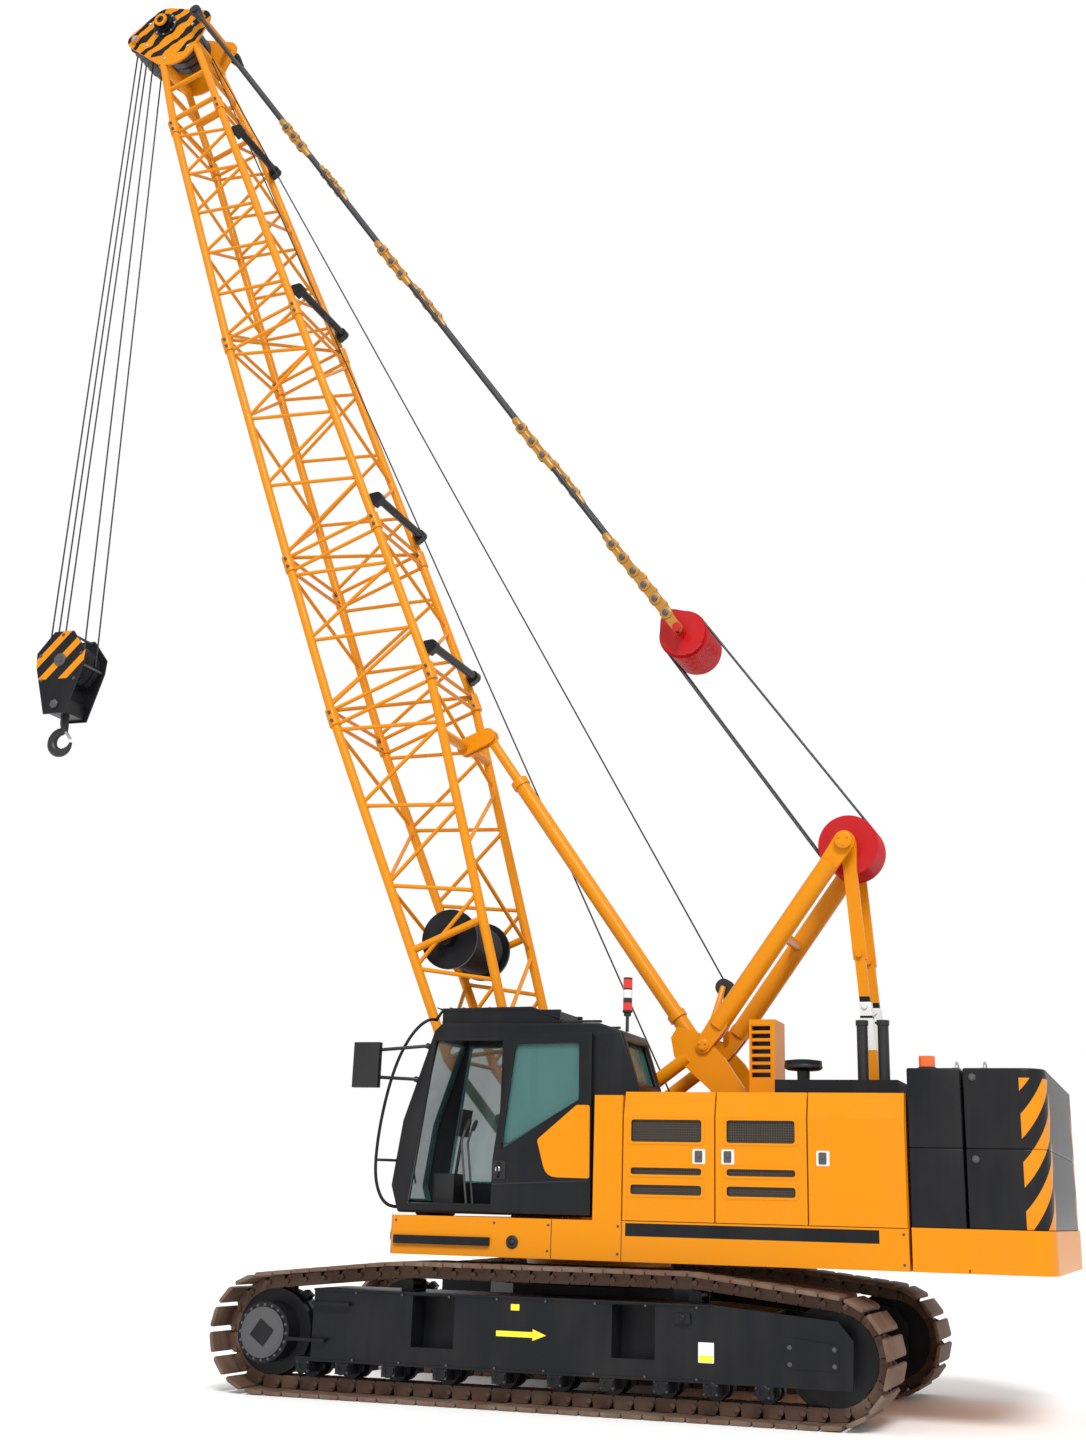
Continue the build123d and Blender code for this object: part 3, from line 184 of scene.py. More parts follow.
EVERYWHERE = 100.0
BOOM_ANGLE = math.radians(68.05)
ALONG = (math.cos(BOOM_ANGLE), 0.0, math.sin(BOOM_ANGLE))
OUTWARD = (math.sin(BOOM_ANGLE), 0.0, -math.cos(BOOM_ANGLE))
SLOPE = (0.5892, 0.0, 0.8080)      # suspension line, from the gantry's peak to the boom's head
ACROSS_SLOPE = (SLOPE[2], 0.0, -SLOPE[0])
PEAK = (-2.278, 4.506)             # X and Z of the gantry's peak
BRIDLE = 2.52                      # distance from the peak to the bridle's axle
LOBE = (6.10854, 14.66534)         # X and Z of the guide sheaves at the boom's head
BLOCK_Z = 6.83                     # height of the hook block's sheaves
CORNER_POINTS = 5                  # points on the corner of a rounded outline


class Paint(Enum):
    """Base colours of the painted and bare surfaces, linear RGB."""

    YELLOW = (0.66, 0.226, 0.001)
    CHARCOAL = (0.0065, 0.0075, 0.0098)
    BLACK = (0.0045, 0.0045, 0.005)
    RED = (0.44, 0.004, 0.006)
    SHOE = (0.115, 0.060, 0.038)
    ROPE = (0.030, 0.032, 0.036)
    LINK = (0.42, 0.20, 0.035)
    STEEL = (0.085, 0.085, 0.09)
    FORGED = (0.012, 0.012, 0.013)
    BRIGHT = (0.55, 0.55, 0.56)
    WHITE = (0.72, 0.72, 0.70)
    LABEL = (0.85, 0.70, 0.02)
    GLASS = (0.070, 0.185, 0.175)
    MESH = (0.050, 0.036, 0.024)
    CLOTH = (0.018, 0.018, 0.020)
    RUBBER = (0.010, 0.010, 0.010)
    LAMP_RED = (0.65, 0.012, 0.008)
    LAMP_AMBER = (0.90, 0.13, 0.005)
    DUST = (0.25, 0.20, 0.15)
    FLOOR = (0.95, 0.95, 0.95)

    @property
    def rgba(self) -> tuple[float, float, float, float]:
        """The colour with full opacity."""
        return (*self.value, 1.0)


@dataclass(frozen=True)
class Stripes:
    """Diagonal bands over a surface.

    Attributes:
        across: direction in which the bands follow each other.
        pitch: distance from one band to the next.
        share: part of the pitch that a band takes.
        start: where the first band starts along that direction.
        wobble: how far noise bends the bands.
    """

    across: Point
    pitch: float
    share: float = 0.5
    start: float = 0.0
    wobble: float = 0.0


SIDE_STRIPE = Stripes((1.0, 1.0, 1.0), 0.34, 0.52, -2.268)
HOOK_STRIPE = Stripes((0.72, 0.0, 0.70), 0.185, 0.42, 0.075)
HEAD_STRIPE = Stripes((0.62, 0.0, 0.78), 0.175, 0.40, 0.05, 0.045)
ROPE_LAY = Stripes((9.0, 9.0, 22.0), 1.0)
SLOPED_LAY = Stripes((6.0, 9.0, 16.0), 1.0)


@dataclass(frozen=True)
class Zone:
    """Part of a surface with another colour, the same on the left and the right.

    Attributes:
        low: lowest corner of the box that holds it, with Y counted from the middle.
        high: highest corner of that box.
        colour: its colour.
        stripes: bands that the colour is limited to, or None where it fills the zone.
    """

    low: Point
    high: Point
    colour: Paint
    stripes: Stripes | None = None


def band(low: float, high: float, colour: Paint, x: Row = (-EVERYWHERE, EVERYWHERE),
         y: Row = (0.0, EVERYWHERE)) -> Zone:
    """Zone between two heights.

    Args:
        low: lower height.
        high: upper height.
        colour: its colour.
        x: from and to along X.
        y: from and to away from the middle plane.

    Returns:
        The zone.
    """
    return Zone((x[0], y[0], low), (x[1], y[1], high), colour)


@dataclass(frozen=True)
class Finish:
    """How one surface answers light.

    Attributes:
        colour: base colour.
        slot: material slot of the record that it belongs to.
        roughness: mean roughness of the surface.
        metallic: 0 for paint and plastic, 1 for bare metal.
        coat: weight of the clear coat.
        specular: level of the mirror-like part of the light.
        bump: strength of the fine relief.
        bump_scale: repeats of the relief per metre.
        dust: how much pale dust lies on it, from 0 to 1.
        alpha: opacity.
        lay: bands that stand for the strands of a rope, or None.
        zones: parts with another colour.
    """

    colour: Paint
    slot: str
    roughness: float
    metallic: float = 0.0
    coat: float = 0.0
    specular: float = 0.5
    bump: float = 0.0
    bump_scale: float = 60.0
    dust: float = 0.0
    alpha: float = 1.0
    lay: Stripes | None = None
    zones: tuple[Zone, ...] = ()


YELLOW_PAINT = Finish(Paint.YELLOW, "paint_yellow", 0.33, coat=0.04, specular=0.16, bump=0.015, dust=0.04)
CHARCOAL_PAINT = Finish(Paint.CHARCOAL, "paint_charcoal", 0.36, specular=0.2, bump=0.02, dust=0.04)
WIRE_ROPE = Finish(Paint.ROPE, "rope_steel", 0.45, 0.5, bump=0.4)


class Look(Enum):
    """Every finish on the crane; its material has the same name in small letters."""

    PAINT_YELLOW = YELLOW_PAINT
    PAINT_CHARCOAL = CHARCOAL_PAINT
    PAINT_RED = Finish(Paint.RED, "paint_red", 0.32, coat=0.15, specular=0.25, bump=0.02, dust=0.08)
    SHOE_STEEL = Finish(Paint.SHOE, "shoe_steel", 0.70, 0.15, bump=0.45, bump_scale=34, dust=0.75)
    SHEAVE_STEEL = Finish(Paint.STEEL, "sheave_steel", 0.38, 0.9, bump=0.03, dust=0.05)
    ROPE_STEEL = replace(WIRE_ROPE, lay=ROPE_LAY)
    WINDOW_GLASS = Finish(Paint.GLASS, "window_glass", 0.05, alpha=0.56)
    SEAT_CLOTH = Finish(Paint.CLOTH, "seat_cloth", 0.9, bump=0.3, bump_scale=420)
    LAMP_LENS = Finish(
        Paint.LAMP_RED, "lamp_lens", 0.14, coat=0.7,
        zones=(band(2.0, 2.9, Paint.LAMP_AMBER, x=(-3.2, -2.9)), band(2.8, 3.0, Paint.BLACK),
               band(3.06, 3.10, Paint.BLACK), band(3.10, 3.165, Paint.WHITE),
               band(3.165, 3.18, Paint.BLACK), band(3.25, 3.3, Paint.BLACK)))
    BRIGHT_STEEL = Finish(Paint.BRIGHT, "sheave_steel", 0.24, 1.0, bump=0.02)
    BLACK_RUBBER = Finish(Paint.RUBBER, "paint_charcoal", 0.72, bump=0.05, bump_scale=200)
    BLACK_PLASTIC = Finish(Paint.BLACK, "paint_charcoal", 0.45, bump=0.04, bump_scale=300)
    LABEL_WHITE = Finish(Paint.WHITE, "paint_yellow", 0.45, dust=0.05)
    LABEL_YELLOW = Finish(Paint.LABEL, "paint_yellow", 0.45, dust=0.05)
    RED_LENS = Finish(Paint.LAMP_RED, "lamp_lens", 0.12, coat=0.8)
    MIRROR_GLASS = Finish(Paint.BRIGHT, "window_glass", 0.03, 1.0)
    PUNCHED_SCREEN = Finish(Paint.MESH, "paint_charcoal", 0.6, bump=0.2, bump_scale=90)
    SLAB = replace(
        CHARCOAL_PAINT,
        zones=(Zone((-4.2, 1.17, 1.385), (-3.73, 2.0, 2.45), Paint.YELLOW, SIDE_STRIPE),))
    DECK = replace(
        YELLOW_PAINT,
        zones=(band(1.261, 1.356, Paint.CHARCOAL, (-2.66, -0.69), (1.4962, 1.6)),
               band(1.14, 1.23, Paint.CHARCOAL, (0.42, 1.27), (1.4975, 1.6)),
               band(1.14, 1.24, Paint.BLACK, (0.19, 0.29), (1.4975, 1.6))))
    REAR_LEG = replace(
        YELLOW_PAINT,
        zones=(band(2.76, 3.155, Paint.WHITE), band(3.02, 3.04, Paint.CHARCOAL),
               band(3.155, 3.20, Paint.CHARCOAL)))
    HEAD = replace(
        YELLOW_PAINT,
        zones=(Zone((-EVERYWHERE, 0.3295, 14.36), (EVERYWHERE, 0.3325, 15.1), Paint.BLACK, HEAD_STRIPE),
               Zone((5.55, 0.3355, 14.6), (5.90, 0.425, 15.1), Paint.BLACK)))
    BLOCK = replace(
        CHARCOAL_PAINT,
        zones=(Zone((-EVERYWHERE, 0.2105, 6.62), (EVERYWHERE, 0.2135, 7.16), Paint.YELLOW, HOOK_STRIPE),))
    PENDANT_LINK = Finish(Paint.LINK, "rope_steel", 0.42, 0.4, bump=0.1, bump_scale=30, dust=0.1)
    PENDANT = replace(
        WIRE_ROPE,
        zones=tuple(band(low, high, Paint.LINK)
                    for low, high in ((6.50, 7.46), (8.42, 8.79), (10.72, 11.10), (12.56, 12.89))))
    HOOK_STEEL = Finish(Paint.FORGED, "paint_charcoal", 0.42, 0.1, bump=0.1, bump_scale=20, dust=0.04)
    SLOPED_ROPE = replace(WIRE_ROPE, lay=SLOPED_LAY)
    CHAIN_STEEL = Finish(Paint.SHOE, "shoe_steel", 0.6, 0.3, bump=0.3, bump_scale=40, dust=0.35)
    HOUSE_STEEL = Finish(Paint.STEEL, "paint_charcoal", 0.5, 0.5, bump=0.05, dust=0.1)


NODE_LOOKS = {   # CAD nodes whose look isn't the one of their slot
    "revolving_frame": Look.DECK, "gantry_rear_legs": Look.REAR_LEG, "boom_head": Look.HEAD,
    "hook_block": Look.BLOCK, "cab_console": Look.BLACK_PLASTIC, "pendants": Look.PENDANT,
}

ROUNDED_PANELS = (   # CAD node, look, width of the rounding
    ("cab_shell", Look.PAINT_CHARCOAL, 0.030), ("cab_door", Look.PAINT_CHARCOAL, 0.012),
    ("counterweight_lower", Look.SLAB, 0.010), ("counterweight_upper", Look.SLAB, 0.014),
    ("mirror", Look.BLACK_PLASTIC, 0.012),
)

# Wear that all finishes share.
DUST_PATCHES = 1.7                 # patches of dust per metre
DUST_STREAKS = (9.0, 9.0, 0.9)     # streaks per metre along each axis, longest on the upright one
STREAK_SHARE = 0.4                 # part that the streaks have in the dust's pattern
DUST_EDGE = (0.44, 0.72)           # noise values between which the dust sets in
DUST_ROUGHNESS = 0.4               # roughness that full dust adds
RELIEF_ROUGHNESS = 0.12            # roughness from the relief's lowest to its highest point
RELIEF_DEPTH = 0.01                # depth of the relief at full strength
WOBBLES = 5.0                      # bends of a wobbling band per metre
WOBBLE_GAIN = 4.0                  # the noise strays by about a quarter


def feed(tree: bpy.types.NodeTree, node: bpy.types.Node, inputs: dict[str | int, object]) -> None:
    """Set a node's inputs.

    Args:
        tree: node tree that holds it.
        node: the node.
        inputs: a value or another node's output for each input, by name or place.
    """
    for name, value in inputs.items():
        if isinstance(value, bpy.types.NodeSocket):
            tree.links.new(value, node.inputs[name])
        else:
            node.inputs[name].default_value = value


def add(tree: bpy.types.NodeTree, kind: str, inputs: dict[str | int, object],
        **settings: object) -> bpy.types.Node:
    """Add a shader node.

    Args:
        tree: node tree that gets it.
        kind: its kind, such as Math or Bump.
        inputs: a value or another node's output for each input, by name or place.
        settings: its settings, which come before the inputs.

    Returns:
        The node.
    """
    node = tree.nodes.new(f"ShaderNode{kind}")
    for name, value in settings.items():
        setattr(node, name, value)
    feed(tree, node, inputs)
    return node


def maths(tree: bpy.types.NodeTree, operation: str, *values: object) -> bpy.types.NodeSocket:
    """Output of a Math node over numbers and other nodes' outputs."""
    return add(tree, "Math", dict(enumerate(values)), operation=operation).outputs[0]


def new_group(name: str, inputs: dict[str, str],
              outputs: dict[str, str]) -> tuple[bpy.types.NodeTree, bpy.types.Node, bpy.types.Node]:
    """Start a shader node group.

    Args:
        name: its name.
        inputs: kind of each input, by its name.
        outputs: kind of each output, by its name.

    Returns:
        The group, the node that brings in its inputs and the one that takes its outputs.
    """
    tree = bpy.data.node_groups.new(name, "ShaderNodeTree")
    for way, sockets in (("INPUT", inputs), ("OUTPUT", outputs)):
        for label, kind in sockets.items():
            tree.interface.new_socket(label, in_out=way, socket_type=f"NodeSocket{kind}")
    return tree, tree.nodes.new("NodeGroupInput"), tree.nodes.new("NodeGroupOutput")


def wear_group() -> bpy.types.NodeTree:
    """Make the group that gives a dusty colour, a roughness and a height from noise.

    Returns:
        The group.
    """
    tree, given, result = new_group(
        "SurfaceWear", {"Colour": "Color", "Roughness": "Float", "Dust": "Float", "Scale": "Float"},
        {"Colour": "Color", "Roughness": "Float", "Height": "Float"})
    place = add(tree, "TexCoord", {}).outputs["Object"]
    stretched = add(tree, "Mapping", {"Vector": place, "Scale": DUST_STREAKS}).outputs["Vector"]
    fine, coarse, streak = (
        add(tree, "TexNoise", {"Vector": vector, "Scale": scale, "Detail": detail}).outputs["Fac"]
        for vector, scale, detail in ((place, given.outputs["Scale"], 6.0), (place, DUST_PATCHES, 6.0),
                                      (stretched, 1.0, 3.0)))
    mottle = maths(tree, "MULTIPLY_ADD", coarse, 1 - STREAK_SHARE,
                   maths(tree, "MULTIPLY", streak, STREAK_SHARE))
    patch = add(tree, "MapRange", {"Value": mottle, "From Min": DUST_EDGE[0], "From Max": DUST_EDGE[1]})
    amount = maths(tree, "MULTIPLY", patch.outputs["Result"], given.outputs["Dust"])
    dusty = add(tree, "Mix", {"Factor": amount, "A": given.outputs["Colour"], "B": Paint.DUST.rgba},
                data_type="RGBA")
    rough = maths(tree, "MULTIPLY_ADD", fine, RELIEF_ROUGHNESS, given.outputs["Roughness"])
    feed(tree, result, {"Colour": dusty.outputs["Result"], "Height": fine,
                        "Roughness": maths(tree, "MULTIPLY_ADD", amount, DUST_ROUGHNESS, rough)})
    return tree


def stripe_group() -> bpy.types.NodeTree:
    """Make the group of diagonal bands, as a mask and as a wave over each band.

    Returns:
        The group.
    """
    tree, given, result = new_group(
        "DiagonalBands",
        {"Across": "Vector", "Pitch": "Float", "Share": "Float", "Start": "Float", "Wobble": "Float"},
        {"Mask": "Float", "Wave": "Float"})
    place = add(tree, "TexCoord", {}).outputs["Object"]
    noise = add(tree, "TexNoise", {"Vector": place, "Scale": WOBBLES, "Detail": 1.0}).outputs["Fac"]
    folded = add(tree, "VectorMath", {0: place}, operation="ABSOLUTE").outputs["Vector"]
    parts, mirrored = (add(tree, "SeparateXYZ", {0: vector}).outputs for vector in (place, folded))
    both = add(tree, "CombineXYZ", {"X": parts["X"], "Y": mirrored["Y"], "Z": parts["Z"]}).outputs["Vector"]
    reach = add(tree, "VectorMath", {0: both, 1: given.outputs["Across"]}, operation="DOT_PRODUCT")
    bend = maths(tree, "MULTIPLY", maths(tree, "SUBTRACT", noise, 0.5),
                 maths(tree, "MULTIPLY", given.outputs["Wobble"], WOBBLE_GAIN))
    bent = maths(tree, "ADD", reach.outputs["Value"], bend)
    shifted = maths(tree, "SUBTRACT", bent, given.outputs["Start"])
    phase = maths(tree, "FRACT", maths(tree, "DIVIDE", shifted, given.outputs["Pitch"]))
    feed(tree, result, {"Mask": maths(tree, "LESS_THAN", phase, given.outputs["Share"]),
                        "Wave": maths(tree, "PINGPONG", phase, 0.5)})
    return tree


def zone_group() -> bpy.types.NodeTree:
    """Make the group that masks a box, mirrored about the middle plane.

    Returns:
        The group.
    """
    tree, given, result = new_group("BoxMask", {"Low": "Vector", "High": "Vector"}, {"Mask": "Float"})
    place = add(tree, "TexCoord", {}).outputs["Object"]
    at, low, high = (add(tree, "SeparateXYZ", {0: vector}).outputs
                     for vector in (place, given.outputs["Low"], given.outputs["High"]))
    mask = 1.0
    for axis in "XYZ":
        value = maths(tree, "ABSOLUTE", at[axis]) if axis == "Y" else at[axis]
        inside = maths(tree, "MULTIPLY", maths(tree, "GREATER_THAN", value, low[axis]),
                       maths(tree, "LESS_THAN", value, high[axis]))
        mask = maths(tree, "MULTIPLY", mask, inside)
    feed(tree, result, {"Mask": mask})
    return tree


class Library:
    """The materials of the scene, one for each look."""

    def __init__(self) -> None:
        """Make the node groups, then the materials."""
        self.wear, self.bands, self.box = wear_group(), stripe_group(), zone_group()
        self.made = {look: self.make(look.name.lower(), look.value) for look in Look}

    def __getitem__(self, look: Look) -> bpy.types.Material:
        """Material of a look."""
        return self.made[look]

    def banded(self, tree: bpy.types.NodeTree, stripes: Stripes) -> bpy.types.Node:
        """Add a group node of diagonal bands.

        Args:
            tree: node tree of the material.
            stripes: the bands.

        Returns:
            The node.
        """
        return add(tree, "Group", {
            "Across": stripes.across, "Pitch": stripes.pitch, "Share": stripes.share,
            "Start": stripes.start, "Wobble": stripes.wobble}, node_tree=self.bands)

    def colour(self, tree: bpy.types.NodeTree, finish: Finish) -> bpy.types.NodeSocket | tuple[float, ...]:
        """Lay the colours of a finish's zones over its base colour.

        Args:
            tree: node tree of the material.
            finish: the finish.

        Returns:
            The output that mixes them, or the base colour where there are no zones.
        """
        result = finish.colour.rgba
        for zone in finish.zones:
            box = add(tree, "Group", {"Low": zone.low, "High": zone.high}, node_tree=self.box)
            mask = box.outputs["Mask"]
            if zone.stripes:
                mask = maths(tree, "MULTIPLY", mask, self.banded(tree, zone.stripes).outputs["Mask"])
            result = add(tree, "Mix", {"Factor": mask, "A": result, "B": zone.colour.rgba},
                         data_type="RGBA").outputs["Result"]
        return result

    def make(self, name: str, finish: Finish) -> bpy.types.Material:
        """Make one procedural material.

        Args:
            name: its name.
            finish: its look.

        Returns:
            The material.
        """
        material = bpy.data.materials.new(name)
        material.use_nodes = True
        tree = material.node_tree
        shader = tree.nodes["Principled BSDF"]
        wear = add(tree, "Group", {
            "Colour": self.colour(tree, finish), "Roughness": finish.roughness - RELIEF_ROUGHNESS / 2,
            "Dust": finish.dust, "Scale": finish.bump_scale}, node_tree=self.wear)
        feed(tree, shader, {
            "Metallic": finish.metallic, "Coat Weight": finish.coat, "Specular IOR Level": finish.specular,
            "Alpha": finish.alpha, "Base Color": wear.outputs["Colour"],
            "Roughness": wear.outputs["Roughness"]})
        if finish.bump:
            height = self.banded(tree, finish.lay).outputs["Wave"] if finish.lay else wear.outputs["Height"]
            bump = add(tree, "Bump", {"Strength": finish.bump, "Distance": RELIEF_DEPTH, "Height": height})
            feed(tree, shader, {"Normal": bump.outputs["Normal"]})
        return material


def turns(count: int) -> list[float]:
    """Angles of a full turn in equal steps."""
    return [2 * math.pi * i / count for i in range(count)]


def straight(start: Vector, end: Vector, steps: int) -> list[Vector]:
    """Evenly spaced points from a start to an end, so that what follows them can bend."""
    return [start.lerp(end, i / steps) for i in range(steps + 1)]


def rectangle(x: Row, z: Row) -> Outline:
    """Outline between two X and two Z values."""
    return [(x[0], z[0]), (x[1], z[0]), (x[1], z[1]), (x[0], z[1])]


def rounded(corners: Outline, radii: float | tuple[float, ...]) -> Outline:
    """Round off an outline's corners.

    Args:
        corners: the outline.
        radii: radius of all the corners, or of each.

    Returns:
        The rounded outline.
    """
    if isinstance(radii, float):
        radii = (radii,) * len(corners)
    outline: Outline = []
    for i, radius in enumerate(radii):
        here = Vector(corners[i])
        back = (Vector(corners[i - 1]) - here).normalized()
        ahead = (Vector(corners[(i + 1) % len(corners)]) - here).normalized()
        cut = radius / math.tan(back.angle(ahead) / 2)
        start, end = here + back * cut, here + ahead * cut
        for k in range(CORNER_POINTS):
            t = k / (CORNER_POINTS - 1)
            point = start * (1 - t) ** 2 + here * 2 * t * (1 - t) + end * t ** 2
            outline.append((point.x, point.y))
    return outline


def grown(corners: tuple[Row, ...], out: float) -> Outline:
    """Move an outline's corners outwards along X and Z.

    Args:
        corners: the outline.
        out: how far, or less than 0 to move them inwards.

    Returns:
        The moved outline.
    """
    cx = sum(x for x, _ in corners) / len(corners)
    cz = sum(z for _, z in corners) / len(corners)
    return [(x + math.copysign(out, x - cx), z + math.copysign(out, z - cz)) for x, z in corners]


def spool(half: Profile) -> list[Row]:
    """Profile that is the same towards both ends, from its rows between an end and the middle."""
    return [(-along, radius) for along, radius in half] + list(reversed(half))


def in_scene(name: str, data: bpy.types.ID) -> bpy.types.Object:
    """Put a mesh, a lamp or a camera into the scene.

    Args:
        name: name of its object.
        data: the mesh, lamp or camera.

    Returns:
        The object.
    """
    thing = bpy.data.objects.new(name, data)
    bpy.context.scene.collection.objects.link(thing)
    return thing


class Side(Enum):
    """The crane's two sides, with the sign of Y on each."""

    LEFT = 1
    RIGHT = -1

    @property
    def label(self) -> str:
        """The side in names of pieces and bodies."""
        return self.name.lower()

    @property
    def axis(self) -> Vector:
        """Direction away from the middle plane."""
        return Vector((0, self.value, 0))

    def point(self, x: float, y: float, z: float) -> Vector:
        """Point whose Y counts from the middle plane."""
        return Vector((x, self.value * y, z))

    def over(self, face: float, low: float, high: float) -> Row:
        """Y of two heights over a face that is this far from the middle plane."""
        return self.value * (face + low), self.value * (face + high)


class Shape:
    """A mesh put together from extruded, turned and swept parts."""

    BEVEL_STEPS = 2
    BEVEL_PROFILE = 0.6
    SHARP = math.radians(35)

    def __init__(self) -> None:
        """Start an empty mesh."""
        self.mesh = bmesh.new()

    def prism(self, outline: Outline, depth: Row, bevel: float = 0.0) -> "Shape":
        """Extrude an outline along Y.

        Args:
            outline: its corners.
            depth: from and to along Y.
            bevel: width of the bevel on all its edges.

        Returns:
            This shape.
        """
        ends = [[self.mesh.verts.new((x, y, z)) for x, z in outline] for y in depth]
        faces = [self.mesh.faces.new(ends[0]), self.mesh.faces.new(list(reversed(ends[1])))]
        for i in range(len(outline)):
            j = (i + 1) % len(outline)
            faces.append(self.mesh.faces.new((ends[0][j], ends[0][i], ends[1][i], ends[1][j])))
        if bevel:
            edges = list(dict.fromkeys(edge for face in faces for edge in face.edges))
            bmesh.ops.bevel(self.mesh, geom=edges, offset=bevel, segments=self.BEVEL_STEPS,
                            profile=self.BEVEL_PROFILE, affect="EDGES")
        return self

    def box(self, x: Row, y: Row, z: Row, bevel: float = 0.004) -> "Shape":
        """Bevelled box between two X, two Y and two Z values."""
        return self.prism(rectangle(x, z), y, bevel)

    def rim(self, outer: Outline, inner: Outline, depth: Row) -> "Shape":
        """Extrude the strip between two outlines along Y.

        Args:
            outer: outer outline.
            inner: inner outline, with as many corners.
            depth: from and to along Y.

        Returns:
            This shape.
        """
        loops = [[self.mesh.verts.new((x, y, z)) for x, z in line] for y in depth for line in (outer, inner)]
        for i in range(len(outer)):
            j = (i + 1) % len(outer)
            for a, b in ((0, 1), (1, 3), (3, 2), (2, 0)):
                self.mesh.faces.new((loops[a][i], loops[a][j], loops[b][j], loops[b][i]))
        return self

    def seal(self, window: tuple[Row, ...], sizes: Sizes, depth: Row) -> "Shape":
        """Add the rubber seal round a window.

        Args:
            window: corners of the window.
            sizes: how far the seal reaches out and in, and radius of its corners outside and inside.
            depth: from and to along Y.

        Returns:
            This shape.
        """
        out, inward, outer, inner = sizes
        return self.rim(rounded(grown(window, out), outer), rounded(grown(window, inward), inner), depth)

    def skin(self, rings: list[list[Vector]]) -> "Shape":
        """Join rings of points, each with as many, and close both ends.

        Args:
            rings: the rings, in order.

        Returns:
            This shape.
        """
        loops = [[self.mesh.verts.new(point) for point in ring] for ring in rings]
        for low, high in zip(loops, loops[1:]):
            for i in range(len(low)):
                j = (i + 1) % len(low)
                self.mesh.faces.new((low[i], low[j], high[j], high[i]))
        self.mesh.faces.new(list(reversed(loops[0])))
        self.mesh.faces.new(loops[-1])
        return self

    def turned(self, profile: Profile | list[Row], start: Vector | Point, axis: Vector | Point,
               sides: int = 16) -> "Shape":
        """Turn a profile about an axis.

        Args:
            profile: its rows.
            start: point on the axis that the distances count from.
            axis: direction of the axis.
            sides: number of facets round it.

        Returns:
            This shape.
        """
        axis = Vector(axis).normalized()
        first = axis.orthogonal().normalized()
        second = axis.cross(first)
        middles = [(Vector(start) + axis * along, radius) for along, radius in profile]
        round_about = [first * math.cos(t) + second * math.sin(t) for t in turns(sides)]
        return self.skin([[middle + way * radius for way in round_about] for middle, radius in middles])

    def bolts(self, places: list[Vector], axis: Vector | Point, radius: float = 0.012,
              height: float = 0.012) -> "Shape":
        """Add hexagon bolt heads, each on a washer.

        Args:
            places: middle of each washer's foot.
            axis: direction in which they stand.
            radius: radius of a head over its corners.
            height: height of a head with its washer.

        Returns:
            This shape.
        """
        washer, head = 0.2 * height, 1.35 * radius
        for place in places:
            self.turned([(0.0, head), (washer, head)], place, axis, 12)
            self.turned([(washer, radius), (0.85 * height, radius), (height, 0.8 * radius)], place, axis, 6)
        return self

    def rod(self, points: Sequence[Vector | Point], radius: float, sides: int = 8) -> "Shape":
        """Sweep a round bar through points.

        Args:
            points: middle line of the bar.
            radius: its radius.
            sides: number of facets round it.

        Returns:
            This shape.
        """
        points = [Vector(point) for point in points]
        normal = (points[1] - points[0]).orthogonal().normalized()
        rings = []
        for i, point in enumerate(points):
            run = (points[min(i + 1, len(points) - 1)] - points[max(i - 1, 0)]).normalized()
            normal = (normal - run * normal.dot(run)).normalized()
            other = run.cross(normal)
            rings.append([point + (normal * math.cos(t) + other * math.sin(t)) * radius
                          for t in turns(sides)])
        return self.skin(rings)

    def finish(self, name: str, look: Look, library: Library, body: str | None) -> bpy.types.Object:
        """Turn the shape into a piece of the scene.

        Args:
            name: name of the piece.
            look: its finish.
            library: the scene's materials.
            body: CAD body that it rides on, or None where it is blended later.

        Returns:
            The piece.
        """
        bmesh.ops.recalc_face_normals(self.mesh, faces=self.mesh.faces)
        data = bpy.data.meshes.new(name)
        self.mesh.to_mesh(data)
        self.mesh.free()
        data.polygons.foreach_set("use_smooth", [True] * len(data.polygons))
        data.set_sharp_from_angle(angle=self.SHARP)
        data.materials.append(library[look])
        piece = in_scene(name, data)
        if body:
            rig.ride(piece, body)
        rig.slot(piece, look.value.slot)
        log.info("%s: %d faces on %s", name, len(data.polygons), body)
        return piece


class Kit:
    """Shapes that ride on the same body, by the names of the pieces that they become."""

    def __init__(self, library: Library, body: str | None, looks: dict[str, Look]) -> None:
        """Start an empty shape for each piece.

        Args:
            library: the scene's materials.
            body: CAD body that the pieces ride on, or None where they are blended later.
            looks: look of each piece, by its name.
        """
        self.library, self.body, self.looks = library, body, looks
        self.shapes = {name: Shape() for name in looks}

    def __iter__(self) -> Iterator[Shape]:
        return iter(self.shapes.values())

    def finish(self) -> list[bpy.types.Object]:
        """Turn the shapes into pieces of the scene, in the same order."""
        return [shape.finish(name, self.looks[name], self.library, self.body)
                for name, shape in self.shapes.items()]


@dataclass(frozen=True)
class Assembly:
    """A sub-assembly of the crane, to which the classes below add sizes and a build method.

    Attributes:
        library: the scene's materials.
    """

    library: Library

    def kit(self, body: str | None, **looks: Look) -> Kit:
        """Empty shapes for pieces on one body."""
        return Kit(self.library, body, looks)


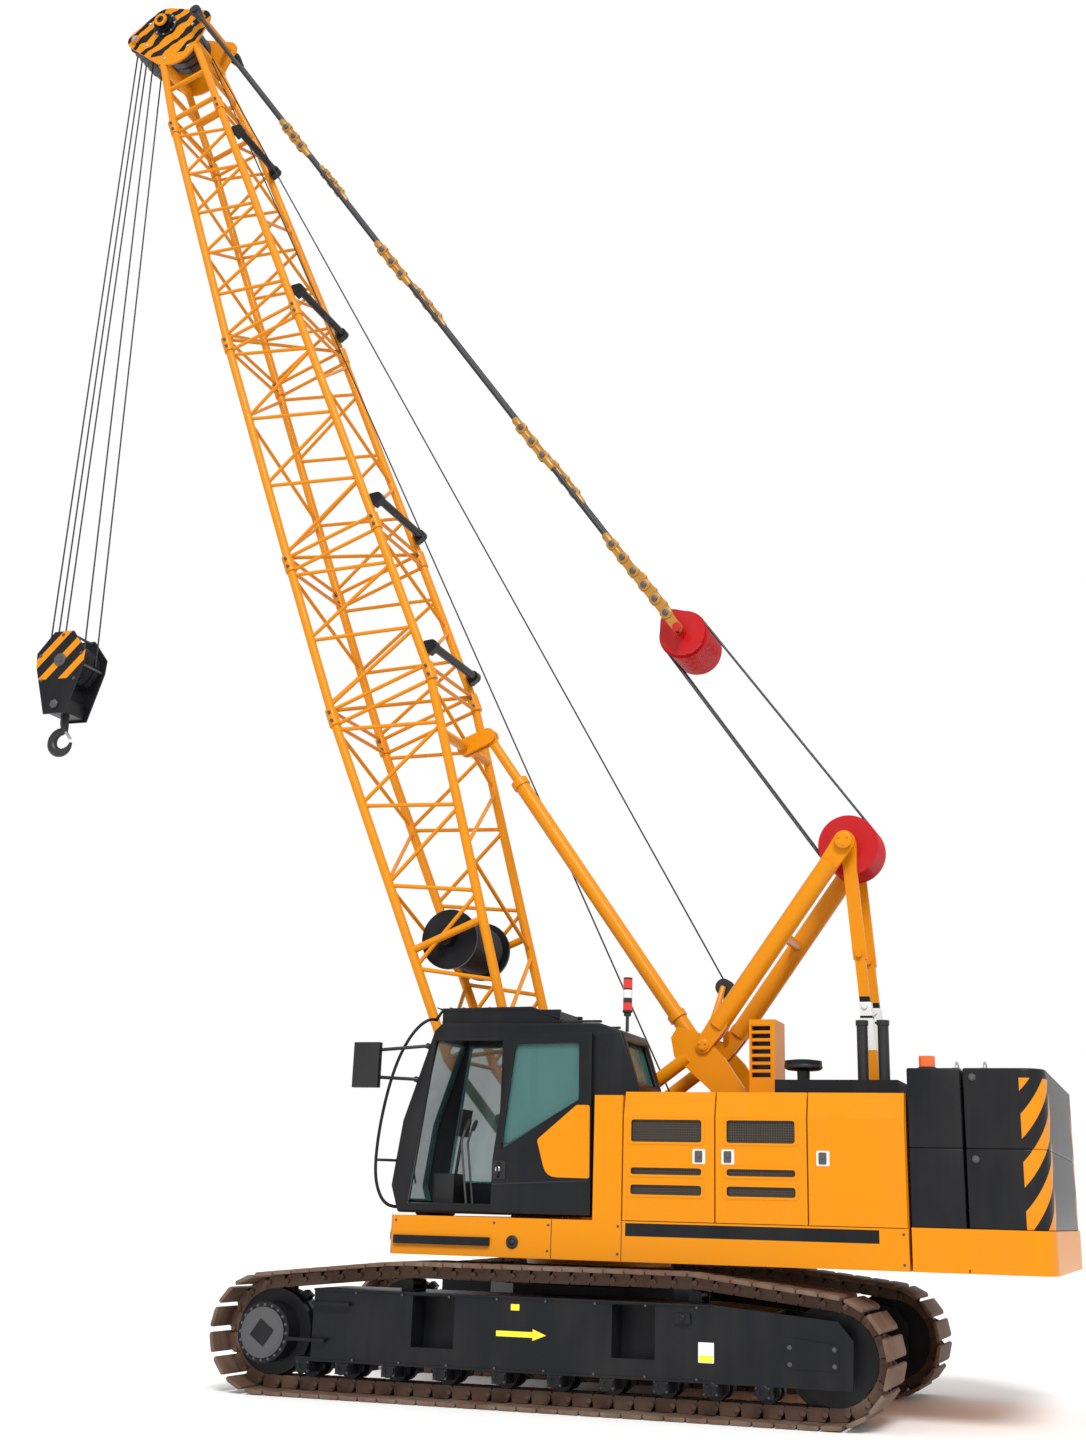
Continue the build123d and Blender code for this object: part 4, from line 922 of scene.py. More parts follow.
@dataclass(frozen=True)
class Undercarriage(Assembly):
    """Fine pieces of the track frames, the final drives and the bottom rollers.

    Attributes:
        frame_y: outer face of a track frame.
        cover: from and to along X, then low and high Z, of the cover over the idler's slot.
        cover_rise: how far its top slopes up in front of that height and down behind it.
        cover_skin: thickness of the cover.
        valve_box: corners of the box over the tensioning valve.
        valve_depth: how far that box stands out.
        valve_knob: X and Z of its knob, then the knob's profile.
        seam_z: heights of the rows of bolts along the frame.
        seam_x: places of the bolts in a row.
        drive_at: X and Z of the final drive's axis.
        drive_y: outer face of the final drive's housing.
        drive_hub_y: outer face of its hub.
        drive_circle: radius and number of its bolts.
        drive_rims: profiles of the hub's rims, each with how far behind the hub's face it starts.
        roller_x: places of the bottom rollers.
        roller_at: Y and Z of a roller's outer end.
        roller_cap: profile of a roller's cap.
        white_plate: X, Z, corner radius and thickness of the blank white plate.
        yellow_plates: the same of each yellow one.
        arrow: corners of the travel arrow.
        arrow_skin: its thickness.
    """

    frame_y: float = 1.62
    cover: tuple[float, float, float, float] = (-2.36, -1.97, .39, .584)
    cover_rise: float = .02
    cover_skin: float = .008
    valve_box: tuple[Row, ...] = ((-1.13, .66), (-1.26, .66), (-1.25, .735), (-1.14, .735))
    valve_depth: float = .03
    valve_knob: tuple[Row, Profile] = ((-1.195, .70), ((0, .022), (.02, .022), (.024, .016)))
    seam_z: Sizes = (.775, .285)
    seam_x: Sizes = (-1.3, -.9, -.5, -.1, .3, .7, 1.1, 1.5)
    drive_at: Row = (2.3, .4545)
    drive_y: float = 1.63
    drive_hub_y: float = 1.645
    drive_circle: tuple[float, int] = (.204, 20)
    drive_rims: tuple[tuple[float, Profile], ...] = (
        (.0, ((0, .165), (.004, .168), (.007, .15), (.007, .12))),
        (.004, ((0, .19), (.006, .19), (.006, .172))))
    roller_x: Sizes = (1.940, 1.596, 1.196, .759, .270, -.180, -.600, -1.019, -1.400, -1.791)
    roller_at: Row = (1.606, .222)
    roller_cap: Profile = ((0, .052), (.016, .052), (.02, .044), (.02, .02), (.012, .018))
    white_plate: tuple[Row, Row, float, float] = ((-1.43, -1.31), (.40, .54), .006, .0015)
    yellow_plates: tuple[tuple[Row, Row, float, float], ...] = (
        ((-1.424, -1.316), (.405, .45), .004, .003), ((.115, .185), (.70, .745), .004, .002))
    arrow: tuple[Row, ...] = (
        (.299, .512), (.299, .552), (.0, .552), (.0, .573), (-.11, .532), (.0, .491), (.0, .512))
    arrow_skin: float = .002

    def build(self) -> None:
        """Make them on both sides."""
        kit = self.kit(
            "undercarriage", frame_covers=Look.PAINT_CHARCOAL, roller_caps=Look.PAINT_CHARCOAL,
            frame_bolts=Look.HOUSE_STEEL, final_drive_rims=Look.HOUSE_STEEL,
            frame_plates_white=Look.LABEL_WHITE, frame_plates_yellow=Look.LABEL_YELLOW,
            travel_arrows=Look.LABEL_YELLOW)
        covers, caps, bolts, drive, white, yellow, arrow = kit
        for side in Side:
            self.build_covers(side, covers, bolts)
            self.build_drive(side, drive, bolts)
            self.build_rollers(side, caps, bolts)
            for plates, rows in ((white, (self.white_plate,)), (yellow, self.yellow_plates)):
                for x, z, radius, thick in rows:
                    plates.prism(rounded(rectangle(x, z), radius), side.over(self.frame_y, 0, thick))
            arrow.prism(list(self.arrow), side.over(self.frame_y, 0, self.arrow_skin))
        kit.finish()

    def build_covers(self, side: Side, covers: Shape, bolts: Shape) -> None:
        """Add the slot's cover, the valve box and the rows of bolts to one side.

        Args:
            side: the side.
            covers: shape of the covers.
            bolts: shape of the bolts.
        """
        x0, x1, z0, z1 = self.cover
        rise, inset = self.cover_rise, .03
        covers.prism(rounded([(x0, z0), (x1, z0), (x1, z1 + rise), (x0, z1 - rise)], .02),
                     side.over(self.frame_y, 0, self.cover_skin))
        bolts.bolts([side.point(x, self.frame_y + self.cover_skin, z)
                     for x in (x0 + inset, x1 - inset) for z in (z0 + inset, z1 - inset - rise)],
                    side.axis, .013)
        (knob_x, knob_z), knob = self.valve_knob
        covers.prism(list(self.valve_box), side.over(self.frame_y, 0, self.valve_depth), .008)
        covers.turned(knob, side.point(knob_x, self.frame_y + self.valve_depth, knob_z), side.axis)
        for z in self.seam_z:
            bolts.bolts([side.point(x, self.frame_y + .012, z) for x in self.seam_x], side.axis, .007, .006)

    def build_drive(self, side: Side, drive: Shape, bolts: Shape) -> None:
        """Add the rims and bolts of the final drive to one side.

        Args:
            side: the side.
            drive: shape of the rims.
            bolts: shape of the bolts.
        """
        x, z = self.drive_at
        radius, count = self.drive_circle
        bolts.bolts([side.point(x + radius * math.cos(t), self.drive_y, z + radius * math.sin(t))
                     for t in turns(count)], side.axis, .010)
        for behind, profile in self.drive_rims:
            drive.turned(profile, side.point(x, self.drive_hub_y - behind, z), side.axis, 40)

    def build_rollers(self, side: Side, caps: Shape, bolts: Shape) -> None:
        """Add the end caps of the bottom rollers to one side.

        Args:
            side: the side.
            caps: shape of the caps.
            bolts: shape of the bolts.
        """
        y, z = self.roller_at
        for x in self.roller_x:
            caps.turned(self.roller_cap, side.point(x, y, z), side.axis, 18)
            bolts.bolts([side.point(x + dx, y, bolt_z) for dx in (.045, -.045) for bolt_z in (.19, .25)],
                        side.axis, .008)


@dataclass(frozen=True)
class Link:
    """Place of one link of a track, between two pitch points in X and Z.

    Attributes:
        start: the first point.
        end: the second point.
    """

    start: Vector
    end: Vector

    @property
    def half(self) -> float:
        """Half the pitch."""
        return (self.end - self.start).length / 2

    @property
    def centre(self) -> Vector:
        """Middle of the link on the pitch line."""
        return (self.start + self.end) / 2

    @property
    def run(self) -> Vector:
        """Direction along the track."""
        return (self.end - self.start).normalized()

    @property
    def out(self) -> Vector:
        """Direction out from the track."""
        return Vector((self.run.y, -self.run.x))

    def at(self, along: float, rise: float) -> Row:
        """Point from the link's middle, along the track and out from the pitch line."""
        point = self.centre + self.run * along + self.out * rise
        return point.x, point.y


@dataclass(frozen=True)
class Tracks(Assembly):
    """Shoes and link chain of both tracks.

    Attributes:
        middle: Y of a track's centre line.
        width: width of a shoe.
        count: shoes in one track.
        wheels: X, Z and pitch radius of the sprocket and the idler.
        carriers: X, Z and radius of the bends over the carrier rollers.
        facets: points on each wheel's circle.
        depth: pitch line to the outer face of a shoe.
        plate: thickness of a shoe.
        gap: gap between two shoes.
        chain_y: Y of a shoe's two link plates, from the track's middle.
        chain_half: half thickness of a link plate.
        pin: half length and radius of a chain pin.
        bolt_y: Y of the bolts in a shoe, from the track's middle.
        bolt_foot: how far below the shoe's outer face the bolts start.
    """

    middle: float = 1.32
    width: float = .76
    count: int = 70
    wheels: tuple[Point, ...] = ((2.3, .4545, .3695), (-2.3, .4545, .3695))
    carriers: tuple[Point, ...] = ((1.15, .91, .03), (-1.25, .91, .03))
    facets: int = 120
    depth: float = .085
    plate: float = .034
    gap: float = .012
    chain_y: tuple[float, float] = (-.085, .085)
    chain_half: float = .03
    pin: Row = (.135, .02)
    bolt_y: Sizes = (-.15, -.06, .06, .15)
    bolt_foot: float = .0045

    def hull(self) -> list[Row]:
        """Tightest closed line round the wheels and the carrier rollers.

        Returns:
            Its corners.
        """
        cloud = sorted({(x + r * math.cos(t), z + r * math.sin(t)) for x, z, r in self.wheels + self.carriers
                        for t in turns(self.facets)})
        corners: list[Row] = []
        for points in (cloud, cloud[::-1]):
            line: list[Row] = []
            for c in points:
                while len(line) > 1 and ((line[-1][0] - line[-2][0]) * (c[1] - line[-2][1])
                                         <= (line[-1][1] - line[-2][1]) * (c[0] - line[-2][0])):
                    line.pop()
                line.append(c)
            corners += line[:-1]
        return corners

    def path(self) -> list[Vector]:
        """Pitch points of the track, evenly spaced round its path.

        Returns:
            The points, in X and Z.
        """
        starts = self.hull()
        ends = starts[1:] + starts[:1]
        lengths = [math.dist(a, b) for a, b in zip(starts, ends)]
        step = sum(lengths) / self.count
        result, reach, i = [], 0.0, 0
        for k in range(self.count):
            while reach + lengths[i] < k * step:
                reach += lengths[i]
                i += 1
            part = (k * step - reach) / lengths[i]
            result.append(Vector([a + (b - a) * part for a, b in zip(starts[i], ends[i])]))
        return result

    def build(self) -> None:
        """Make both tracks, in place of the CAD ones."""
        path = self.path()
        for side in Side:
            kit = self.kit("undercarriage", **{
                f"track_shoes_{side.label}": Look.SHOE_STEEL, f"track_links_{side.label}": Look.CHAIN_STEEL,
                f"track_pins_{side.label}": Look.CHAIN_STEEL})
            shoes, chain, pins = kit
            for start, end in zip(path, path[1:] + path[:1]):
                self.build_link(Link(start, end), side, shoes, chain, pins)
            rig.replaces(kit.finish()[0], f"track_{side.label}")

    def build_link(self, link: Link, side: Side, shoes: Shape, chain: Shape, pins: Shape) -> None:
        """Add one shoe with its two link plates, its pin and its bolts.

        Args:
            link: place of the link.
            side: side of the track.
            shoes: shape of the shoes.
            chain: shape of the link plates.
            pins: shape of the pins and bolts.
        """
        at, half, middle = link.at, link.half, side.value * self.middle
        edge, low, top = half - self.gap / 2, self.depth - self.plate, self.depth - .0005
        shoes.prism([at(-edge, low + .004), at(-edge, self.depth - .010), at(-edge + .010, top),
                     at(edge - .022, top), at(edge, self.depth - .012), at(edge, low)],
                    (middle - self.width / 2, middle + self.width / 2), .004)
        for offset in self.chain_y:
            y = side.value * (self.middle + offset)
            chain.prism([at(-half - .02, -.045), at(half - .035, -.045), at(half - .02, -.02),
                         at(half - .03, low), at(-half + .01, low), at(-half - .03, -.01)],
                        (y - self.chain_half, y + self.chain_half), .003)
        length, radius = self.pin
        pins.turned([(-length, radius), (length, radius)], (link.start.x, middle, link.start.y),
                    (0, 1, 0), 10)
        foot = link.centre + link.out * (self.depth - self.bolt_foot)
        for offset in self.bolt_y:
            pins.turned([(0, .011), (.004, .010)], side.point(foot.x, self.middle + offset, foot.y),
                        (link.out.x, 0, link.out.y), 6)


@dataclass(frozen=True)
class Ropes(Assembly):
    """Stranded ropes of the hoist and of the luffing gear, which grow and shrink with their joints.

    Attributes:
        hoist: reach of the ropes from both axes, and their pitch along both.
        hoist_falls: before (1) or behind (-1) the sheaves, and groove, of each rope.
        hoist_bar: radius and steps of a hoist rope.
        luff: reach of the ropes from both axes, and their pitch along both.
        luff_rows: grooves of the luffing ropes from the middle.
        luff_bar: radius and steps of a luffing rope.
    """

    hoist: tuple[Row, Row] = ((.116355, .221032), (.098, .118667))
    hoist_falls: tuple[tuple[int, int], ...] = ((1, 1), (1, 0), (1, -1), (-1, 1), (-1, -1))
    hoist_bar: tuple[float, int] = (.009, 40)
    luff: tuple[Row, Row] = ((.253477, .222993), (.1025, .135))
    luff_rows: Sizes = (-1.5, -.5, .5, 1.5)
    luff_bar: tuple[float, int] = (.011, 24)

    def build(self) -> None:
        """Make them, in place of the CAD ropes."""
        self.build_hoist()
        self.build_luffing()

    def build_hoist(self) -> None:
        """Make the falls between the head's guide sheaves and the hook block."""
        kit = self.kit(None, hoist_rope_falls=Look.ROPE_STEEL)
        falls, = kit
        (near, far), (pitch, wide) = self.hoist
        radius, steps = self.hoist_bar
        x, z = LOBE
        for fore, groove in self.hoist_falls:
            falls.rod(straight(Vector((x + fore * near, groove * pitch, z)),
                               Vector((x + fore * far, groove * wide, BLOCK_Z)), steps), radius)
        piece, = kit.finish()
        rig.replaces(piece, "hoist_ropes")
        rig.blend(piece, "hoist_line", "load_block", start=(x, 0, z), end=(x, 0, BLOCK_Z))

    def build_luffing(self) -> None:
        """Make the falls between the gantry's peak and the bridle."""
        kit = self.kit(None, luffing_rope_falls=Look.SLOPED_ROPE)
        falls, = kit
        (near, far), (pitch, wide) = self.luff
        radius, steps = self.luff_bar
        run, out = Vector(SLOPE), Vector(ACROSS_SLOPE)
        top = Vector((PEAK[0], 0, PEAK[1]))
        bridle = top + run * BRIDLE
        for side in Side:
            for row in self.luff_rows:
                start = top + out * side.value * near + Vector((0, row * pitch, 0))
                end = bridle + out * side.value * far + Vector((0, row * wide, 0))
                falls.rod(straight(start, end, steps), radius)
        piece, = kit.finish()
        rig.replaces(piece, "suspension_ropes")
        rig.blend(piece, "luffing_ropes", "luffing_pendants", start=tuple(top), end=tuple(bridle))


@dataclass(frozen=True)
class HouseDoors(Assembly):
    """Louvre screens with black backs of painted shade, latches and blank plates of the machinery house's doors.

    Attributes:
        outer: outer face of the doors.
        recess: face at the back of the louvre windows.
        spans: door, and from and to along X, of each column of windows.
        heights: low and high Z of the windows.
        rim_out: how far a window's rim reaches past it, along X and Z.
        rim_in: how far the rim covers it, along X and Z.
        rim_skin: how far the rim stands out.
        corner: radius of the rim's corners.
        mesh_pitch: distance between two bars of the screen.
        latches: door and X of each latch.
        latch_z: low and high Z of a latch's plate, then of its paddle.
        lock: profile of the lock in the paddle.
        lock_z: height of the lock.
    """

    outer: float = 1.4964
    recess: float = 1.4684
    spans: tuple[tuple[str, float, float], ...] = (("front", -1.303, -.723), ("middle", -2.040, -1.495))
    heights: tuple[Row, ...] = ((1.956, 2.129), (1.713, 1.770), (1.565, 1.643))
    rim_out: Row = (.018, .016)
    rim_in: Row = (.004, .003)
    rim_skin: float = .004
    corner: float = .024
    mesh_pitch: float = .019
    latches: tuple[tuple[str, float], ...] = (("front", -1.279), ("middle", -1.510), ("rear", -2.250))
    latch_z: tuple[Row, Row] = ((1.80, 1.91), (1.812, 1.898))
    lock: Profile = ((0, .012), (.007, .012), (.009, .008))
    lock_z: float = 1.86

    def build(self) -> None:
        """Make them on both sides."""
        for side in Side:
            for door, x0, x1 in self.spans:
                name = f"{side.label}_{door}"
                # The louvre backs are black sheets of painted shade behind the screens.
                kit = self.kit(f"door_{name}", **{
                    f"louvre_backs_{name}": Look.BLACK_PLASTIC, f"louvre_rims_{name}": Look.PAINT_YELLOW,
                    f"louvre_screens_{name}": Look.PUNCHED_SCREEN})
                for z in self.heights:
                    self.build_window(side, (x0, x1), z, *kit)
                kit.finish()
            for door, x in self.latches:
                name = f"{side.label}_{door}"
                kit = self.kit(f"door_{name}", **{
                    f"latch_plates_{name}": Look.LABEL_WHITE, f"latch_paddles_{name}": Look.HOUSE_STEEL})
                plate, paddle = kit
                plate_z, paddle_z = self.latch_z
                plate.prism(rounded(rectangle((x - .05, x + .05), plate_z), .01),
                            side.over(self.outer, 0, .004))
                paddle.prism(rounded(rectangle((x - .028, x + .032), paddle_z), .01),
                             side.over(self.outer, .004, .010))
                paddle.turned(self.lock, side.point(x, self.outer + .010, self.lock_z), side.axis)
                kit.finish()

    def build_window(self, side: Side, x: Row, z: Row, back: Shape, rim: Shape, screen: Shape) -> None:
        """Add one louvre window.

        Args:
            side: side of the door.
            x: from and to along X.
            z: low and high Z.
            back: shape of the black sheets behind the screens, painted shade that stands for the shaded inside of the
                house.
            rim: shape of the rims.
            screen: shape of the screens.
        """
        (x0, x1), (z0, z1) = x, z
        (out_x, out_z), (in_x, in_z) = self.rim_out, self.rim_in
        rim.rim(rounded(rectangle((x0 - out_x, x1 + out_x), (z0 - out_z, z1 + out_z)), self.corner),
                rounded(rectangle((x0 + in_x, x1 - in_x), (z0 + in_z, z1 - in_z)), self.corner),
                side.over(self.outer, -self.rim_skin, self.rim_skin))
        # Painted shade: a black sheet at the back of the recess stands for the dark, shaded inside seen through the
        # louvres.
        back.prism(rectangle(x, z), side.over(self.recess, 0, .004))
        rows = max(3, round((z1 - z0) / self.mesh_pitch))
        for i in range(rows):
            middle = z0 + (z1 - z0) * (i + .5) / rows
            screen.prism(rectangle(x, (middle - .0035, middle + .0035)), side.over(self.recess, .004, .011))
        columns = round((x1 - x0) / self.mesh_pitch)
        for i in range(1, columns):
            middle = x0 + (x1 - x0) * i / columns
            screen.prism(rectangle((middle - .003, middle + .003), z), side.over(self.recess, .003, .009))


@dataclass(frozen=True)
class DeckDetails(Assembly):
    """Bolts, lamps, plugs and seams round the revolving frame, and the counterweight's fittings.

    Attributes:
        side_y: outer face of the deck.
        seams: X of the upright seams between the deck's panels.
        seam_z: low and high Z of a seam.
        panel_bolts: X and Z of the panels' bolts.
        plug_at: X and Z of the round plug.
        plug: profile of its rim.
        plug_core: profile of its middle.
        lamp: X, Y and Z of a marker lamp's foot.
        lens: X, Y and Z of its lens.
        eye_x: places of the lifting eyes.
        eye_at: Y and Z of the middle of an eye's foot.
        eye: half width, height and bar radius of an eye.
        eye_foot: profile of the round foot at each end of an eye.
        tie_at: X and Y of the counterweight's tie bolts.
        tie_z: their heights.
    """

    side_y: float = 1.4964
    seams: Sizes = (-.083, -.659)
    seam_z: Row = (1.08, 1.366)
    panel_bolts: tuple[Row, ...] = (
        (-.056, 1.325), (-.054, 1.134), (-.63, 1.33), (-.63, 1.13), (1.25, 1.33), (.40, 1.33),
        (-2.84, 1.33), (-2.84, 1.12))
    plug_at: Row = (.241, 1.191)
    plug: Profile = ((0, .05), (.008, .05), (.012, .042), (.012, .026), (.004, .024))
    plug_core: Profile = ((0, .02), (.018, .02), (.022, .014))
    lamp: tuple[Row, Row, Row] = ((1.288, 1.318), (1.36, 1.45), (1.18, 1.24))
    lens: tuple[Row, Row, Row] = ((1.29, 1.318), (1.365, 1.445), (1.24, 1.262))
    eye_x: Sizes = (-3.26, -3.47)
    eye_at: Row = (1.29, 2.521)
    eye: Point = (.045, .05, .012)
    eye_foot: Profile = ((0, .03), (.012, .03))
    tie_at: Row = (-3.39, 1.4864)
    tie_z: Sizes = (2.454, 1.868)

    def build(self) -> None:
        """Make them on both sides."""
        kit = self.kit(
            "upperworks", deck_seams=Look.BLACK_RUBBER, deck_bolts=Look.HOUSE_STEEL,
            deck_plugs=Look.BLACK_PLASTIC, marker_lamps=Look.BLACK_PLASTIC, marker_lenses=Look.RED_LENS,
            lifting_eyes=Look.BRIGHT_STEEL)
        seams, bolts, plugs, lamps, lenses, eyes = kit
        for side in Side:
            for x in self.seams:
                seams.prism(rectangle((x - .003, x + .003), self.seam_z), side.over(self.side_y, 0, .001))
            bolts.bolts([side.point(x, self.side_y, z) for x, z in self.panel_bolts], side.axis, .008, .006)
            place = side.point(self.plug_at[0], self.side_y, self.plug_at[1])
            plugs.turned(self.plug, place, side.axis, 24)
            plugs.turned(self.plug_core, place, side.axis, 12)
            for shape, (x, y, z) in ((lamps, self.lamp), (lenses, self.lens)):
                shape.box(x, side.over(0, *y), z, .006)
            self.build_eyes(side, eyes)
            x, y = self.tie_at
            bolts.bolts([side.point(x, y, z) for z in self.tie_z], side.axis, .020, .018)
        kit.finish()

    def build_eyes(self, side: Side, eyes: Shape) -> None:
        """Add the lifting eyes of the counterweight to one side.

        Args:
            side: the side.
            eyes: shape of the eyes.
        """
        y, z = self.eye_at
        half, height, radius = self.eye
        for x in self.eye_x:
            hoop = [Vector((x, side.value * y + half * math.cos(t), z + height * math.sin(t)))
                    for t in turns(16)[:9]]
            eyes.rod(hoop, radius)
            for foot in (hoop[0], hoop[-1]):
                eyes.turned(self.eye_foot, foot, (0, 0, 1), 12)


@dataclass(frozen=True)
class RoofDetails(Assembly):
    """Intake slats with a black core of painted shade, the air cleaner's cap, the exhaust pipes and the lamps'
    sockets.

    Attributes:
        slats: number of slats in the intake box.
        slat_half: half height of a slat.
        slat_y: from and to along Y of the slats of each opening.
        intake_x: from and to along X of the openings.
        intake_z: low and high Z of the openings.
        core_y: from and to along Y of the intake's black core, painted shade that stands for the shaded inside between
            the slats.
        cap_at: foot of the air cleaner's cap.
        cap: its profile.
        pipe_x: places of the exhaust pipes.
        pipe_at: Y and Z of their feet.
        pipe: profile of a pipe.
        sockets: foot, profile and facets of each lamp's socket.
    """

    slats: int = 7
    slat_half: float = .013
    slat_y: tuple[Row, ...] = ((.585, .629), (.251, .295))
    intake_x: Row = (-1.66, -1.50)
    intake_z: Row = (2.50, 2.94)
    core_y: Row = (.33, .55)
    cap_at: Point = (-1.99, .9, 2.56)
    cap: Profile = ((-.09, .05), (-.02, .052), (-.012, .13), (0, .152), (.016, .155), (.05, .14), (.068, .09),
                    (.072, .02))
    pipe_x: Sizes = (-2.45, -2.62)
    pipe_at: Row = (.76, 2.45)
    pipe: Profile = ((0, .055), (.02, .055), (.02, .045), (.46, .045), (.46, .052), (.50, .052), (.50, .04))
    sockets: tuple[tuple[Point, Profile, int], ...] = (
        ((-3.035, 1.30, 2.521), ((0, .075), (.012, .075), (.02, .066)), 24),
        ((-.59, 1.2, 2.955), ((0, .03), (.025, .03), (.03, .042), (.045, .042)), 20))

    def build(self) -> None:
        """Make them."""
        kit = self.kit(
            "upperworks", intake_slats=Look.PAINT_YELLOW, intake_core=Look.BLACK_PLASTIC,
            air_cleaner_cap=Look.BLACK_PLASTIC, exhaust_pipes=Look.HOOK_STEEL,
            lamp_sockets=Look.BLACK_PLASTIC)
        slats, core, cap, pipes, sockets = kit
        upright = (0, 0, 1)
        (x0, x1), (z0, z1) = self.intake_x, self.intake_z
        for i in range(self.slats + 1):
            z = z0 + (z1 - z0) / self.slats * i
            for y in self.slat_y:
                slats.prism(rectangle(self.intake_x, (z - self.slat_half, z + self.slat_half)), y, .004)
        # Painted shade: a black box between the slat rows stands for the shaded inside of the intake.
        core.box((x0 + .002, x1 - .002), self.core_y, (z0 + .002, z1 - .002))
        cap.turned(self.cap, self.cap_at, upright, 32)
        for x in self.pipe_x:
            pipes.turned(self.pipe, (x, *self.pipe_at), upright, 20)
        for foot, profile, sides in self.sockets:
            sockets.turned(profile, foot, upright, sides)
        kit.finish()


@dataclass(frozen=True)
class CabDoor(Assembly):
    """Window seal, yellow patch, trim line, pull and lock of the cab's sliding door.

    Attributes:
        face: outer face of the door.
        window: corners of its window.
        seal: how far the window's seal reaches out and in, and radius of its corners outside and inside.
        patch: corners of the yellow patch.
        patch_radii: radius of each of them.
        trim: lower corners of the trim line.
        trim_high: height of the trim line.
        plate: from and to along X, and low and high Z, of the lock's plate.
        pull: standing distance and Z of each point of the pull on that plate.
        pull_bar: X and radius of the pull.
        lock_at: X and Z of the lock.
        lock: its profile.
    """

    face: float = 1.455
    window: tuple[Row, ...] = ((.277, 2.697), (-.252, 2.711), (-.263, 2.289), (.366, 1.913))
    seal: Sizes = (.012, -.014, .05, .04)
    patch: tuple[Row, ...] = ((.075, 1.965), (-.255, 2.235), (-.365, 2.235), (-.375, 1.678), (-.01, 1.683))
    patch_radii: Sizes = (.03, .03, .02, .02, .12)
    trim: tuple[Row, Row] = ((.445, 1.615), (-.36, 1.655))
    trim_high: float = .012
    plate: tuple[Row, Row] = ((.335, .44), (1.66, 1.80))
    pull: tuple[Row, ...] = ((.004, 1.675), (.03, 1.69), (.03, 1.77), (.004, 1.785))
    pull_bar: Row = (.395, .009)
    lock_at: Row = (.40, 1.735)
    lock: Profile = ((0, .021), (.01, .021), (.014, .015), (.014, .006))

    def build(self) -> None:
        """Make them."""
        kit = self.kit("cab_door_body", door_window_seal=Look.BLACK_RUBBER, door_patch=Look.PAINT_YELLOW,
                       door_handle=Look.BLACK_PLASTIC, door_lock=Look.BRIGHT_STEEL)
        seal, patch, handle, lock = kit
        y, thick = self.face, .004
        seal.seal(self.window, self.seal, (y - .006, y + .005))
        patch.prism(rounded(list(self.patch), self.patch_radii), (y - .001, y + thick))
        (x0, z0), (x1, z1) = self.trim
        handle.prism([(x0, z0), (x1, z1), (x1, z1 + self.trim_high), (x0, z0 + self.trim_high)],
                     (y, y + thick))
        handle.prism(rounded(rectangle(*self.plate), .02), (y - .001, y + .006))
        x, radius = self.pull_bar
        handle.rod([(x, y + stand, z) for stand, z in self.pull], radius)
        lock.turned(self.lock, (self.lock_at[0], y + .006, self.lock_at[1]), (0, 1, 0), 20)
        kit.finish()


